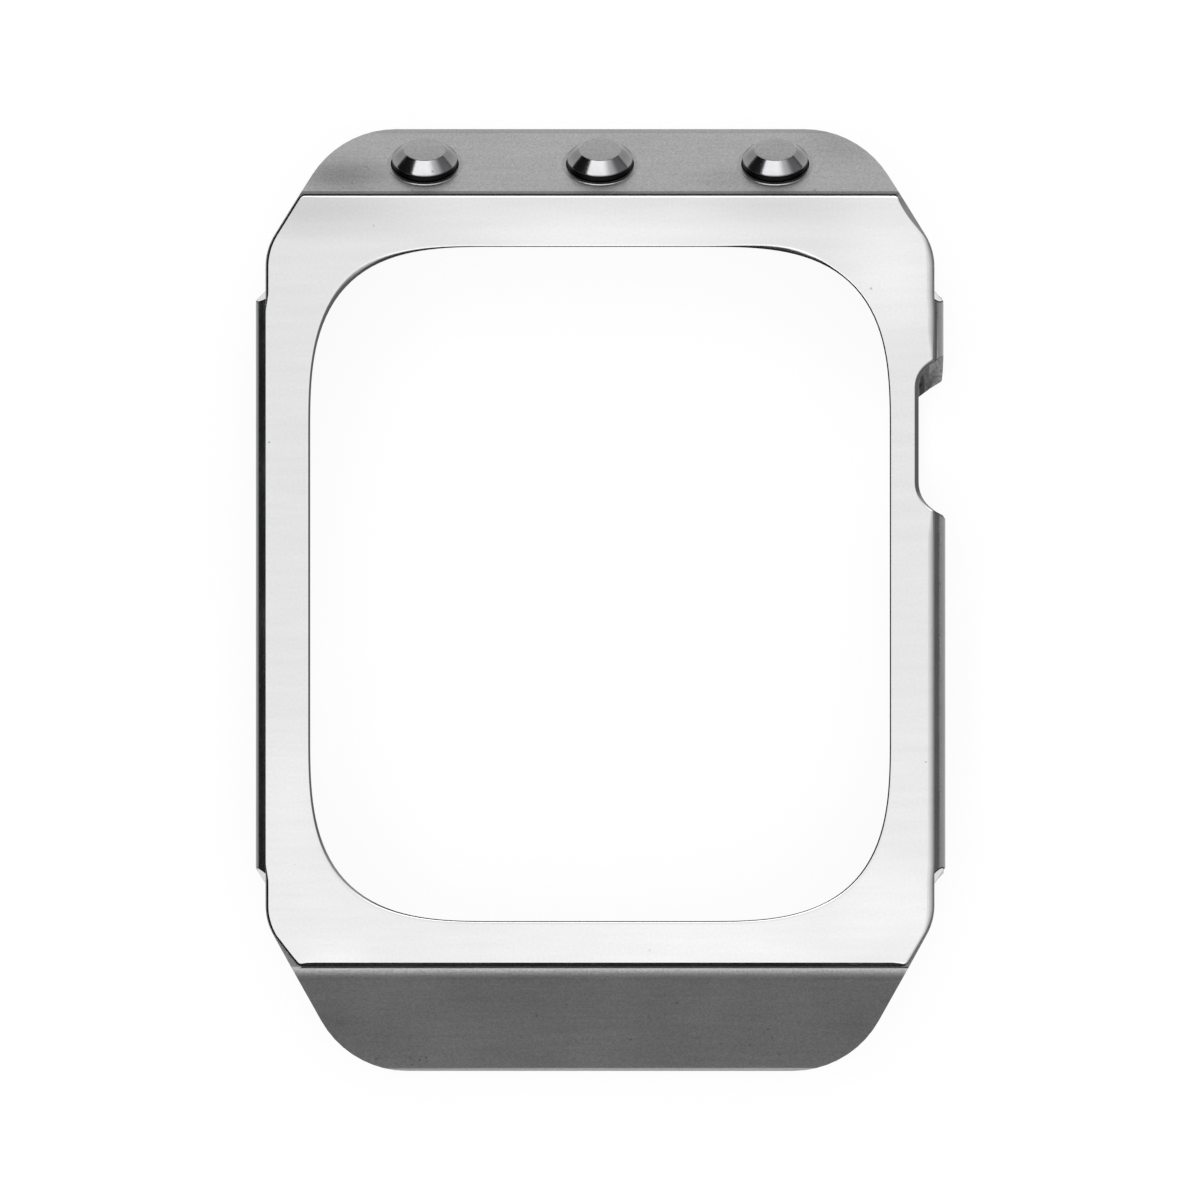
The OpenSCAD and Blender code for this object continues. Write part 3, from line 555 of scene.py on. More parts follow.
def window_outline(outset):
    """The window's outline drawn out by outset, from its lower right corner on."""
    a = np.linspace(0, np.pi / 2, WINDOW_STEPS)
    reach = (WINDOW_SOFT + outset) / (
        np.cos(a) ** WINDOW_SQUARE + np.sin(a) ** WINDOW_SQUARE) ** (1 / WINDOW_SQUARE)
    x = WINDOW_X - WINDOW_SOFT + reach * np.cos(a)
    y = WINDOW_Y - WINDOW_SOFT + reach * np.sin(a)
    corners = np.stack([
        np.column_stack([x, -y])[::-1], np.column_stack([x, y]),
        np.column_stack([-x, y])[::-1], np.column_stack([-x, -y])])
    return with_sides(corners + (0, WINDOW_MID_Y), (12, 22, 12, 22))


# %% [markdown]
# A loft needs the same number of points in each row, so both outlines are read at one shared list
# of places. A place is found by walking round a line up the middle of the window: square to it
# beside its length, and by direction beyond its ends. The walk meets the notch's slanted sides
# well apart, which a fan of directions from one point wouldn't. Each place is turned into a
# position in an outline's own list of points once, so that all rows keep the same structure.

# %% Matching the two outlines
SPINE_LOW, SPINE_HIGH, SPINE_UNIT = -13.0, 16.0, 10.0
SPINE_LONG = (SPINE_HIGH - SPINE_LOW) / SPINE_UNIT
ROUND = 2 * np.pi + 2 * SPINE_LONG


def walk(points):
    """How far round the spine each point lies, as an angle plus the way along the spine."""
    x, y = points[:, 0], points[:, 1]
    on_spine = np.clip(y, SPINE_LOW, SPINE_HIGH)
    angle = np.arctan2(y - on_spine, x)
    along = (on_spine - SPINE_LOW) / SPINE_UNIT
    far_side = np.where(x > 0, along, 2 * SPINE_LONG - along)
    return angle + far_side + (x < 0) * ((y < SPINE_LOW) | (angle < 0)) * 2 * np.pi


first_step = walk(outer_outline(0)[:1])
outer_turns, window_turns = (
    (walk(outline) - first_step) % ROUND for outline in (outer_outline(0), window_outline(0)))
shared = np.unique(np.round(np.concatenate([outer_turns, window_turns]), 5))
shared = shared[np.append(True, np.diff(shared) > 2e-4)]


def places(point_turns):
    """Fractional place in a closed list of points for each shared direction."""
    order = np.argsort(point_turns)
    t = point_turns[order]
    t = np.concatenate([t[-1:] - ROUND, t, t[:1] + ROUND])
    return np.interp(shared, t, order[0] + np.arange(-1, len(point_turns) + 1))


def read_at(values, place):
    """Rows of a closed list at fractional positions, along straight lines between neighbours."""
    whole, part = np.floor(place).astype(int), (place % 1)[:, None]
    return values[whole % len(values)] * (1 - part) + values[(whole + 1) % len(values)] * part


AMOUNTS = np.linspace(0, 0.9, 37)
outer_places, window_places = places(outer_turns), places(window_turns)
outer_table = np.stack([read_at(outer_outline(a), outer_places) for a in AMOUNTS])
window_table = np.stack([read_at(window_outline(a), window_places) for a in AMOUNTS])


def row_at(table, amounts):
    """A row whose every point is drawn in or out by an amount of its own."""
    at = np.clip(np.broadcast_to(amounts, len(shared)) / AMOUNTS[1], 0, len(AMOUNTS) - 1.001)
    k, part = at.astype(int), (at % 1)[:, None]
    column = np.arange(len(shared))
    return table[k, column] * (1 - part) + table[k + 1, column] * part


print("points in a row of the plate:", len(shared))

# %% [markdown]
# Buffing rolls the plate's edges over, more on some sides than on others, and that roll draws the
# lines round a polished plate: a bright one where it still mirrors the lamps and a black one where
# it mirrors the dark room. The roll is three arcs, each with a width and a tilt that grows from
# one value to the next. The widths are set for the four sides and for the notch, and blended by
# the direction in which the outline faces.

# %% Roll of the plate's outer edge


def smooth(x, low, high):
    """0 below low, 1 above high, and a smooth step between."""
    t = np.clip((x - low) / (high - low), 0, 1)
    return t * t * (3 - 2 * t)


def facing(outline, place):
    """Unit vector square to a closed outline, to the right of its run, read at the places."""
    along = np.roll(outline, -1, 0) - np.roll(outline, 1, 0)
    return unit(read_at(unit(np.column_stack([along[:, 1], -along[:, 0]])), place))


# Widths of the three arcs in mm, then the tilts between them in degrees
TOP_EDGE = [0.10, 0.10, 0.003, 2, 31, 40]
PLAIN_EDGE = [0.03, 0.25, 0.003, 2, 33, 40]
LEFT_EDGE = [0.02, 0.10, 0.003, 3, 31, 40]
LEFT_GUARD_EDGE = [0.01, 0.015, 0.003, 3, 20, 40]
CROWN_EDGE = [0.38, 0.03, 0.003, 0.3, 26, 38]
CORNER_EDGE = [0.16, 0.05, 0.003, 2, 28, 38]
NOTCH_EDGE = [0.03, 0.22, 0.003, 3, 30, 38]
HEAD_EDGE = [0.03, 0.26, 0.003, 3, 29, 38]
edge = outer_table[0]
face = facing(outer_outline(0), outer_places)
shares = np.stack([
    np.clip(face[:, 1], 0, 1), np.clip(-face[:, 1], 0, 1),
    np.clip(-face[:, 0], 0, 1), np.clip(face[:, 0], 0, 1)]) ** 2
roll = np.array([TOP_EDGE, PLAIN_EDGE, LEFT_EDGE, CROWN_EDGE]).T @ shares

# Each further edge takes over by a share for each point
right_half = edge[:, 0] > 0
slanted = smooth(np.abs(face[:, 1]), 0.15, 0.5) * (1 - smooth(np.abs(face[:, 1]), 0.9, 0.98))
notch_ends = [NOTCH_LO - NOTCH_FLARE, NOTCH_HI + NOTCH_FLARE]
from_end = np.abs(edge[:, 1:] - notch_ends).min(1)
for table, share in (
        (CORNER_EDGE, slanted * right_half),
        (LEFT_EDGE, slanted * ~right_half),
        (LEFT_GUARD_EDGE, smooth(-edge[:, 0], FLANK_X + 0.005, CASE_X - 0.005)),
        (CORNER_EDGE, right_half * (1 - smooth(from_end, 0.6, 1.3))),
        (NOTCH_EDGE, (edge[:, 0] > 18) * smooth(edge[:, 1], NOTCH_LO - 0.7, NOTCH_LO + 0.6)
         * (1 - smooth(edge[:, 1], NOTCH_HI - 0.6, NOTCH_HI + 0.7))),
        (HEAD_EDGE, right_half * smooth(edge[:, 1], SHOULDER_TOP + 0.6, SHOULDER_TOP + 2.2)
         * smooth(face[:, 0], 0.5, 0.8))):
    roll = roll * (1 - share) + np.array(table)[:, None] * share


def evened(values, outline, reach=0.7, samples=4000):
    """Rows of values along a closed outline, each averaged over reach mm on either side."""
    step = np.linalg.norm(np.roll(outline, -1, 0) - outline, axis=1)
    at, total = np.cumsum(step) - step, step.sum()
    grid = np.linspace(0, total, samples, endpoint=False)
    count = int(reach / total * len(grid))
    weight = np.hanning(2 * count + 3)[1:-1]
    fine = [np.interp(grid, at, row, period=total) for row in values]
    fine = [np.convolve(np.concatenate([row[-count:], row, row[:count]]),
                        weight / weight.sum(), "valid") for row in fine]
    return np.array([np.interp(at, grid, row, period=total) for row in fine])


roll = evened(roll, edge)


def rolled_edge(widths, tilts, steps):
    """Insets and drops of the rows over an edge made of arcs, from the flat face outwards.

    An arc of width w whose tilt grows from a to b has the radius w / (sin b - sin a). At tilt t
    it has come radius (sin t - sin a) outwards and radius (cos a - cos t) down."""
    inset, drop, rows = sum(widths), 0.0, []
    for width, a, b, count in zip(widths, tilts[:-1], tilts[1:], steps):
        radius = width / (np.sin(b) - np.sin(a))
        for t in (a + (b - a) * share for share in np.arange(count) / count):
            rows.append((inset - radius * (np.sin(t) - np.sin(a)),
                         drop + radius * (np.cos(a) - np.cos(t))))
        inset, drop = inset - width, drop + radius * (np.cos(a) - np.cos(b))
    return rows + [(inset, drop)]


outer_tilts = [*np.radians(roll[3:]), np.full(len(shared), np.pi / 2)]
outer_roll = rolled_edge(list(roll[:3]), outer_tilts, (6, 6, 4))
print("the outer roll goes down by at most", round(float(outer_roll[-1][1].max()), 2), "mm")

# %% [markdown]
# The window's edge has a narrower roll of the same kind. It is a little wider in the corners, where
# a buffing wheel lingers, and swells to a crescent beside both ends of the upper side: facing
# (x, y), its share is |x y^3| on the left, and |x y^20|, nearer the middle, on the right.

# %% Roll of the window's edge, and the whole plate
face_x, face_y = facing(window_outline(0), window_places).T
in_corner = np.abs(2 * face_x * face_y) ** 1.5
up, left = window_table[0][:, 1] > 0, window_table[0][:, 0] < 0
left_crescent = 3.08 * np.abs(face_y ** 3 * face_x) * up * left
right_crescent = 7.49 * np.abs(face_y ** 20 * face_x) * up * ~left
window_widths = [
    0.03 + 0.02 * in_corner,
    0.06 + (0.04 * face_x ** 2 + 0.05 * in_corner) * left
    + 0.13 * left_crescent + 0.22 * right_crescent,
    0.003 + 0.03 * left_crescent]
window_tilts = [np.full(len(shared), np.radians(t)) for t in (3, 31, 41, 90)]
window_roll = rolled_edge(window_widths, window_tilts, (3, 4, 3))


def plate_rows(window_margin=0.12, outer_margin=0.03):
    """Rows of the ring, from the window's lower edge over the top to the outer lower edge. The
    margins keep the first flat rows a little away from both rolls."""
    rows = [(window_table, 0, PLATE_THICK)]
    rows += [(window_table, outset, drop) for outset, drop in window_roll[::-1]]
    rows.append((window_table, window_roll[0][0] + window_margin, 0))
    rows.append((outer_table, outer_roll[0][0] + outer_margin, 0))
    rows += [(outer_table, inset, drop) for inset, drop in outer_roll]
    rows.append((outer_table, 0, PLATE_THICK))
    return np.stack([
        np.column_stack([row_at(table, at), np.broadcast_to(PLATE_TOP_Z - drop, len(shared))])
        for table, at, drop in rows])


plate_grid = plate_rows()
plate_quads = grid_quads(*plate_grid.shape[:2], close_rows=True, close_columns=True)
make_piece(
    "front_plate", "front_bezel", plate_grid.reshape(-1, 3), plate_quads[:, ::-1],
    [PLATE_FINISH], "case")
print("plate grid:", plate_grid.shape)

# %% [markdown]
# Under the plate, four bosses reach into the body and take the case screws. They are turned
# shapes: a section in radius and height, carried round an axis. The same function makes the
# pushers, their tubes and their gaskets, so it takes any axis: a point of the section at radius r
# and height w lies at centre + r cos(a) across + r sin(a) up + w along.

# %% Turned shapes


def axes(along):
    """Rows of unit vectors across, up and along an axis that is square to X."""
    across, along = np.array([1.0, 0, 0]), unit(np.array(along, float))
    return np.stack([across, np.cross(along, across), along])


def turned(section, centre, along, steps=72, closed=True):
    """Points and quads of a section of (radius, height) pairs carried round an axis.

    A section that isn't closed starts and ends on the axis."""
    across, up, along = axes(along)
    a = np.linspace(0, 2 * np.pi, steps, endpoint=False)
    ring = np.cos(a)[:, None] * across + np.sin(a)[:, None] * up
    section = np.array(section, float)
    points = centre + section[None, :, :1] * ring[:, None] + section[None, :, 1:] * along
    return points.reshape(-1, 3), grid_quads(steps, len(section), True, closed)


def eased(section, radius, steps=4, open_ends=False):
    """A section whose corners are rounded to radius, or less where a side is short."""
    c = np.array(section, float)
    back, ahead = np.roll(c, 1, 0) - c, np.roll(c, -1, 0) - c
    reach = np.minimum(radius, 0.4 * np.minimum(
        np.linalg.norm(back, axis=1), np.linalg.norm(ahead, axis=1)))[:, None]
    a, b = c + unit(back) * reach, c + unit(ahead) * reach
    t = np.linspace(0, 1, steps)[None, :, None]
    curve = (1 - t) ** 2 * a[:, None] + 2 * t * (1 - t) * c[:, None] + t ** 2 * b[:, None]
    if open_ends:
        return np.concatenate([c[:1], curve[1:-1].reshape(-1, 2), c[-1:]])
    return curve.reshape(-1, 2)


SCREW_AT = [(s * 16.79, y) for s in (-1, 1) for y in (20.77, -18.91)]
BOSS_LONG, BOSS_R, HOLE_R = 2.0, 1.2, 0.5
boss_section = eased([
    [HOLE_R, -BOSS_LONG], [BOSS_R, -BOSS_LONG], [BOSS_R, 0.1], [HOLE_R, 0.1]], 0.08)
boss_points, boss_quads = [], []
for x, y in SCREW_AT:
    points, quads = turned(boss_section, (x, y, SEAM_Z), (0, 0, 1), 40)
    boss_quads.append(quads + sum(len(p) for p in boss_points))
    boss_points.append(points)
make_piece(
    "plate_bosses", None, np.concatenate(boss_points), np.concatenate(boss_quads), [SCREW_FINISH],
    "case")

# %% [markdown]
# The body, guards, back frame and screws already have their true shape in CAD, but as loose
# triangles with sharp edges. A copy of each is merged, its flat faces are joined, and a bevel
# rounds every edge a little, because light catches on an edge that has a width. The copy stands
# for the CAD node, which stays in the physics model.

# %% Finished copies of CAD solids


def per_face(mesh, kind):
    """A vector of every face of a mesh, such as its center or normal, as an array of rows."""
    values = np.empty(3 * len(mesh.polygons))
    mesh.polygons.foreach_get(kind, values)
    return values.reshape(-1, 3)


def finished_copy(node, name, finishes, width_mm, sharp=28, choose=None, keep=None,
                  reshape=None, edge_finish=-1):
    """A merged copy of a CAD node with rounded edges and shading that is smooth on curves.

    Edges bent by more than sharp degrees are rounded, unless keep(middles) is False for them.
    choose(middles, normals) numbers each face's finish, and reshape(points) moves the points,
    all in mm. Rounded edges take the finish edge_finish, or their neighbour's at -1."""
    mesh = frame["nodes"][node].data.copy()
    mesh.name = name
    if reshape:
        points = np.empty(3 * len(mesh.vertices))
        mesh.vertices.foreach_get("co", points)
        moved = reshape(points.reshape(-1, 3) / MM) * MM
        mesh.vertices.foreach_set("co", moved.ravel())
    work = bmesh.new()
    work.from_mesh(mesh)
    bmesh.ops.remove_doubles(work, verts=work.verts, dist=2e-6)
    bmesh.ops.dissolve_degenerate(work, edges=work.edges, dist=1e-6)
    bmesh.ops.dissolve_limit(
        work, angle_limit=np.radians(0.6), verts=work.verts, edges=work.edges)
    bmesh.ops.recalc_face_normals(work, faces=work.faces)
    bend = np.array([edge.calc_face_angle(0) for edge in work.edges])
    middles = np.array([(edge.verts[0].co + edge.verts[1].co) / 2 for edge in work.edges]) / MM
    work.to_mesh(mesh)
    work.free()
    rounds = bend > np.radians(sharp)
    if keep:
        rounds &= keep(middles)
    weight = mesh.attributes.new("bevel_weight_edge", "FLOAT", "EDGE")
    weight.data.foreach_set("value", rounds.astype(np.float32))
    mesh.shade_smooth()
    creased = mesh.attributes.get("sharp_edge") or mesh.attributes.new(
        "sharp_edge", "BOOLEAN", "EDGE")
    creased.data.foreach_set("value", (bend > np.radians(min(sharp, 22))) & ~rounds)
    dress(mesh, finishes, choose and choose(
        per_face(mesh, "center") / MM, per_face(mesh, "normal")))
    piece = put(name, mesh)
    bevel = piece.modifiers.new("eased_edges", "BEVEL")
    bevel.width = width_mm * MM
    bevel.segments = 3
    bevel.limit_method = "WEIGHT"
    bevel.use_clamp_overlap = edge_finish < 0
    bevel.material = edge_finish
    even = piece.modifiers.new("even_shading", "WEIGHTED_NORMAL")
    even.mode = "FACE_AREA"
    even.weight = 100
    even.keep_sharp = True
    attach(piece, frame["nodes"][node]["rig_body"])
    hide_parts(node)
    print(name, len(mesh.polygons), "faces,", int(rounds.sum()), "rounded edges")


# %% [markdown]
# A pusher is a small plunger: a cap with a flat satin top and a polished bevel, a stem below it,
# a gasket in a groove, a coil spring inside and a clip that keeps it in its tube. Cap and stem are
# one turned section. Its corners are rounded before it is carried round, and the faces of the flat
# top get the satin finish. The bevel is polished and carries patches of painted reflection, and the
# side is polished steel painted nearly black, as painted shade in the gap round the cap.

# %% The pushers' sections
SLOPE = np.radians(56)
AXIS = np.array([0, np.sin(SLOPE), np.cos(SLOPE)])
PUSHER_Y, PUSHER_Z = 25.361, 8.389
BUTTON_R, TOP_R, RIM_UP, CAP_UP = 1.9, 1.21, 0.44, 1.05
BORE_R, BARREL_R, COLLAR_R, COLLAR_UP = 1.975, 2.155, 2.215, 0.04
STEM_R, STEM_HOLE_R, SKIRT, TUBE_DEEP, FLOOR_UP = 0.6, 0.63, 0.5, 1.6, -1.2
RECESS_R, RECESS_UP, CLIP_Z, CLIP_T, STEM_END = 1.265, 0.2, -1.61, 0.2, -2.09
GASKET_Z, GASKET_R, NECK_R, PLAY = -0.14, 0.125, 0.42, 0.01
GROOVE_R = BORE_R - 2 * (GASKET_R + PLAY)
GROOVE_LOW, GROOVE_UP = GASKET_Z - GASKET_R - PLAY, GASKET_Z + GASKET_R + PLAY
NECK_LOW, NECK_UP = CLIP_Z - CLIP_T - PLAY, CLIP_Z + PLAY

button_section = eased([
    [0, STEM_END], [STEM_R, STEM_END], [STEM_R, NECK_LOW], [NECK_R, NECK_LOW],
    [NECK_R, NECK_UP], [STEM_R, NECK_UP], [STEM_R, RECESS_UP], [RECESS_R, RECESS_UP],
    [RECESS_R, -SKIRT], [BUTTON_R, -SKIRT], [BUTTON_R, GROOVE_LOW], [GROOVE_R, GROOVE_LOW],
    [GROOVE_R, GROOVE_UP], [BUTTON_R, GROOVE_UP], [BUTTON_R, RIM_UP], [TOP_R, CAP_UP],
    [0, CAP_UP]], 0.04, open_ends=True)
tube_section = eased([
    [STEM_HOLE_R, -TUBE_DEEP], [BARREL_R, -TUBE_DEEP], [BARREL_R, 0.0], [COLLAR_R, 0.0],
    [COLLAR_R - 0.05, COLLAR_UP], [BORE_R, COLLAR_UP],
    [BORE_R, FLOOR_UP], [STEM_HOLE_R, FLOOR_UP]], 0.008)
ring_angle = np.linspace(0, 2 * np.pi, 20, endpoint=False)
gasket_section = np.column_stack([
    GROOVE_R + PLAY + GASKET_R + GASKET_R * np.cos(ring_angle),
    GASKET_Z + GASKET_R * np.sin(ring_angle)])
print("button section points:", len(button_section))

# %% [markdown]
# Now the copies. The body keeps sharp edges round the pushers' bores, where the collars sit, and
# along its top rim under the plate. The walls of the crown notch are milled. The guards' slanted
# ends take the plate's brighter steel and their shoulders a lighter copy, as painted light, and
# their rounded edges the nearly black steel of painted shade.

# %% Body, guards, back frame, liner and screws
NOTCH_LOW, NOTCH_HIGH = (17.0, NOTCH_LO - 1.5, 0.1), (20.5, NOTCH_HI + 1.2, SEAM_Z - 0.01)


def body_edges(middles):
    """False for the rim under the plate and for the edges of the pushers' bores."""
    free = middles[:, 2] < SEAM_Z - 0.02
    for x in (-PITCH, 0, PITCH):
        off = middles - (x, PUSHER_Y, PUSHER_Z)
        free &= np.linalg.norm(off - (off @ AXIS)[:, None] * AXIS, axis=1) > COLLAR_R + 0.1
    return free


def notch_walls(middles, normals):
    """1 for upright faces of the crown notch, 0 elsewhere."""
    inside = ((middles > NOTCH_LOW) & (middles < NOTCH_HIGH)).all(1)
    return inside & (np.abs(normals[:, 2]) < 0.6) & (normals[:, 0] < 0.97)


def body_parts(middles, normals):
    """1 for the notch's walls, 2 for the flat rim under the plate, 0 elsewhere."""
    rim = (normals[:, 2] > 0.99) & (middles[:, 2] > SEAM_Z - 0.02)
    return np.where(rim, 2, notch_walls(middles, normals))


def guard_parts(middles, normals, end_long=1.2):
    """1 for the notch's cut, 2 for the slanted ends, 3 for the shoulder, 0 for the outer face."""
    near_end = (middles[:, 1] > guard_hi[1] - end_long) | (middles[:, 1] < guard_lo[1] + end_long)
    at_end = (np.abs(normals[:, 1]) > 0.3) & near_end
    shoulder = (normals[:, 2] > 0.68) & ~at_end
    return np.where(at_end, 2, np.where(shoulder, 3, notch_walls(middles, normals)))


def narrow_guard(points):
    """The left guard stands out less, and its shoulder stays flat longer before it rolls down."""
    x = np.interp(
        np.abs(points[:, 0]), [0, CASE_X, CASE_X + 0.32, CASE_X + 0.65],
        [0, CASE_X, CASE_X + 0.385, CASE_X + 0.58])
    return np.column_stack([-x, points[:, 1:]])


def upright_guard(points):
    """The right guards' bellies are drawn in less towards the back, and above the crown notch
    the guard stands out by a sixth less."""
    reach = -guard_lo[0]
    low = (points[:, 2] < 5) & (points[:, 0] > reach - 0.32)
    x = np.where(low, reach - 0.25 * (reach - points[:, 0]), points[:, 0])
    proud = np.maximum(x - CASE_X, 0) * (points[:, 1] > NOTCH_HI - 3)
    return np.column_stack([x - proud / 6, points[:, 1:]])


finished_copy(
    "case_body", "machined_body", [BODY_FINISH, MILLED_FINISH, SHADED_RIM_FINISH],
    0.12, choose=body_parts, keep=body_edges)
for node in ("left_side_guard", "right_upper_guard", "right_lower_guard"):
    on_left = node.startswith("left")
    finished_copy(
        node, node + "_polished", [
            SHADED_LEFT_GUARD_FINISH if on_left else GUARD_FINISH, GUARD_CUT_FINISH, PLATE_FINISH,
            LIT_SHOULDER_FINISH, PAINTED_SHADE_FINISH],
        0.045, sharp=22, choose=guard_parts, edge_finish=4,
        keep=lambda middles: np.abs(middles[:, 0]) > 19.5,
        reshape=narrow_guard if on_left else upright_guard)
finished_copy("back_frame", "back_frame_eased", [FRAME_FINISH], 0.15)
finished_copy("liner", "liner_moulded", [LINER_FINISH], 0.08)
finished_copy("case_screws", "case_screws_turned", [SCREW_FINISH], 0.04)
finished_copy("guard_screws", "guard_screws_turned", [SCREW_FINISH], 0.03)

# %% [markdown]
# The spring is one wire wound in a helix, with its first and last turn closed so that it sits
# flat. Along the wire, the height rises slowly at both ends and steadily between, and a small
# circle square to the wire is carried along it.

# %% The spring's wire
COIL_R, WIRE_R, TRAVEL = 1.03, 0.085, 0.6


def coil(low, high, turns=5.5, closed=0.75, easing=0.5, rings_per_turn=36, sides=10):
    """Points of a wire helix from low to high whose end turns are closed.

    The pitch at turn u is the wire's thickness over the first and last closed turns, and what
    is left of the height is shared by the turns between, blended by a smooth step. The wire is
    drawn a little slim, and its two cut ends taper."""
    u = np.linspace(0, turns, int(turns * rings_per_turn) + 1)
    open_share = smooth(np.minimum(u, turns - u), closed, closed + easing)
    step = np.diff(u, prepend=0.0)
    flat = np.cumsum((1 - open_share) * step) * 2 * WIRE_R
    free = np.cumsum(open_share * step)
    height = low + flat + free / free[-1] * (high - low - flat[-1])
    a = 2 * np.pi * u
    centre = np.column_stack([COIL_R * np.cos(a), COIL_R * np.sin(a), height])
    out = np.column_stack([np.cos(a), np.sin(a), np.zeros_like(a)])
    side = np.cross(unit(np.gradient(centre, axis=0)), out)
    b = np.linspace(0, 2 * np.pi, sides, endpoint=False)
    size = np.full_like(u, WIRE_R * 0.97)
    size[[0, -1]] = 0.3 * WIRE_R
    ring = np.cos(b)[None, :, None] * out[:, None] + np.sin(b)[None, :, None] * side[:, None]
    return centre[:, None] + size[:, None, None] * ring


# %% [markdown]
# Each pusher is put together on its place along the hood. Cap, gasket and clip ride on the
# pusher's own body, the tube on the case. The spring stays with the case too. Its two cut ends are
# closed by a face each.

# %% The three pushers
for number, side in enumerate(("left", "centre", "right")):
    centre = np.array([(number - 1) * PITCH, PUSHER_Y, PUSHER_Z])
    rider = side + "_pusher"
    points, quads = turned(button_section, centre, AXIS, 96, closed=False)
    heights = ((points - centre) @ AXIS)[quads]
    on_top, on_side = (heights > CAP_UP - 0.012).all(1), (heights < RIM_UP - 0.02).all(1)
    make_piece(
        side + "_plunger", side + "_button", points, quads,
        [CHAMFER_FINISH, TOP_FINISH, PAINTED_SHADE_FINISH], rider, on_top + 2 * on_side)
    points, quads = turned(tube_section, centre, AXIS, 96)
    collar = (((points - centre) @ AXIS)[quads] > -0.001).all(1)
    make_piece(
        side + "_guide_tube", side + "_tube", points, quads, [TUBE_FINISH, TOP_FINISH], "case",
        collar)
    points, quads = turned(gasket_section, centre, AXIS)
    make_piece(
        side + "_gasket_ring", side + "_gasket", points, quads, [GASKET_FINISH], rider)
    wire = coil(FLOOR_UP + WIRE_R + PLAY, RECESS_UP - WIRE_R - PLAY)
    spring = make_piece(
        side + "_coil_spring", side + "_spring", centre + wire.reshape(-1, 3) @ axes(AXIS),
        grid_quads(*wire.shape[:2], False, True), [WIRE_FINISH], "case")
    work = bmesh.new()
    work.from_mesh(spring.data)
    bmesh.ops.holes_fill(work, edges=[e for e in work.edges if e.is_boundary])
    bmesh.ops.recalc_face_normals(work, faces=work.faces)
    work.to_mesh(spring.data)
    work.free()
    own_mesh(spring)
    finished_copy(side + "_clip", side + "_retaining_clip", [WIRE_FINISH], 0.03)

# %% [markdown]
# The case lies on a plain white table, photographed from straight above through a very long lens:
# its low hoods look as large as they would from far away. So the camera hangs 3 m over it, and
# its lens is worked out from the width of the frame on the plate.

# %% Camera
CAMERA_UP = 3000.0
FRAME_WIDE = 69.77
SENSOR_WIDE = 36
camera_data = bpy.data.cameras.new("camera_above")
camera_data.sensor_width = SENSOR_WIDE
camera_data.lens = SENSOR_WIDE * CAMERA_UP / FRAME_WIDE
camera_data.clip_end = 8
camera = put("camera_above", camera_data)
camera.location = (0, 0, (PLATE_TOP_Z + CAMERA_UP) * MM)
bpy.context.scene.camera = camera
print("lens in mm:", round(camera_data.lens, 1))

# %% [markdown]
# Polished steel shows what stands round it, so a studio is built for it: a white table, a large
# light panel overhead, and dark cards round the case. The table is a matt white that keeps the
# case's shadow, and it glows for the camera and for mirrors, so that it needs no strong lamps.

# %% Floor


def studio_piece(name, material, x, y, *heights):
    """A flat sheet over ranges of x and y in mm, or the walls round it between two heights."""
    points = np.array([
        [x[i], y[j], z] for z in heights for i, j in ((0, 0), (1, 0), (1, 1), (0, 1))])
    quads = grid_quads(2, 4, False, True).tolist() if len(heights) > 1 else [(0, 1, 2, 3)]
    mesh = bpy.data.meshes.new(name)
    mesh.from_pydata((points * MM).tolist(), [], quads)
    mesh.materials.append(material)
    piece = put(name, mesh)
    return piece


material, tree, place = new_material("white_table_top")
paint = add(tree, "BsdfDiffuse", {"Color": colour("#F4F4F4")})
glow = add(tree, "Emission", {"Color": colour("#FFFFFF"), "Strength": 1.0})
path = add(tree, "LightPath")
seen = path.outputs["Is Camera Ray"]
for ray in ("Is Glossy Ray", "Is Transmission Ray"):
    seen = add(tree, "Math", {0: seen, 1: path.outputs[ray]}, operation="ADD", use_clamp=True)
surface = add(tree, "MixShader", {"Fac": product(tree, seen, 0.9), 1: paint, 2: glow})
add(tree, "OutputMaterial", {"Surface": surface})
studio_piece("white_table", material, (-4000, 4000), (-4000, 4000), -0.02)

# %% [markdown]
# The panel is what the flat plate mirrors, so its brightness is drawn as the plate shows it: a
# dim ring round the middle, where the camera hangs, and brighter and darker sides. A colour
# ramp holds the rings, and smooth steps in mm the sides. The camera looks through the panel.

# %% Light panel overhead
PANEL_X, PANEL_Y, PANEL_UP = (-250, 460), (-640, 560), 350.0
PANEL_GLOW, RINGS_OUT = 1.55, 0.4
DIP_STOPS = [(0.0, 0.745), (0.1, 0.745), (0.18, 0.62), (0.26, 0.64), (0.42, 0.97), (1.0, 1.0)]
PANEL_STEPS = [
    ("Y", -22, -9, 1.17, 1.0), ("X", -26, -16, 0.98, 1.0), ("X", 10, 24, 1.0, 1.02),
    ("Y", 90, 190, 1.0, 1.75), ("Y", -640, -540, 0.3, 1.0), ("X", 50, 220, 1.0, 0.42),
    ("X", 220, 450, 1.0, 0.4)]
material, tree, place = new_material("light_panel_cloth")
flat_place = add(tree, "VectorMath", {0: place, 1: (1, 1, 0)}, operation="MULTIPLY")
distance = add(tree, "VectorMath", {0: flat_place}, operation="LENGTH")
rings = add(tree, "MapRange", {"Value": distance, "From Max": RINGS_OUT})
dip = add(tree, "ValToRGB", {"Fac": rings})
while len(dip.color_ramp.elements) < len(DIP_STOPS):
    dip.color_ramp.elements.new(0.5)
for element, (position, grey) in zip(dip.color_ramp.elements, DIP_STOPS):
    element.position = position
    element.color = (grey, grey, grey, 1)
level = product(tree, dip, bands(tree, place, PANEL_STEPS), PANEL_GLOW)
add(tree, "OutputMaterial", {"Surface": add(tree, "Emission", {"Strength": level})})
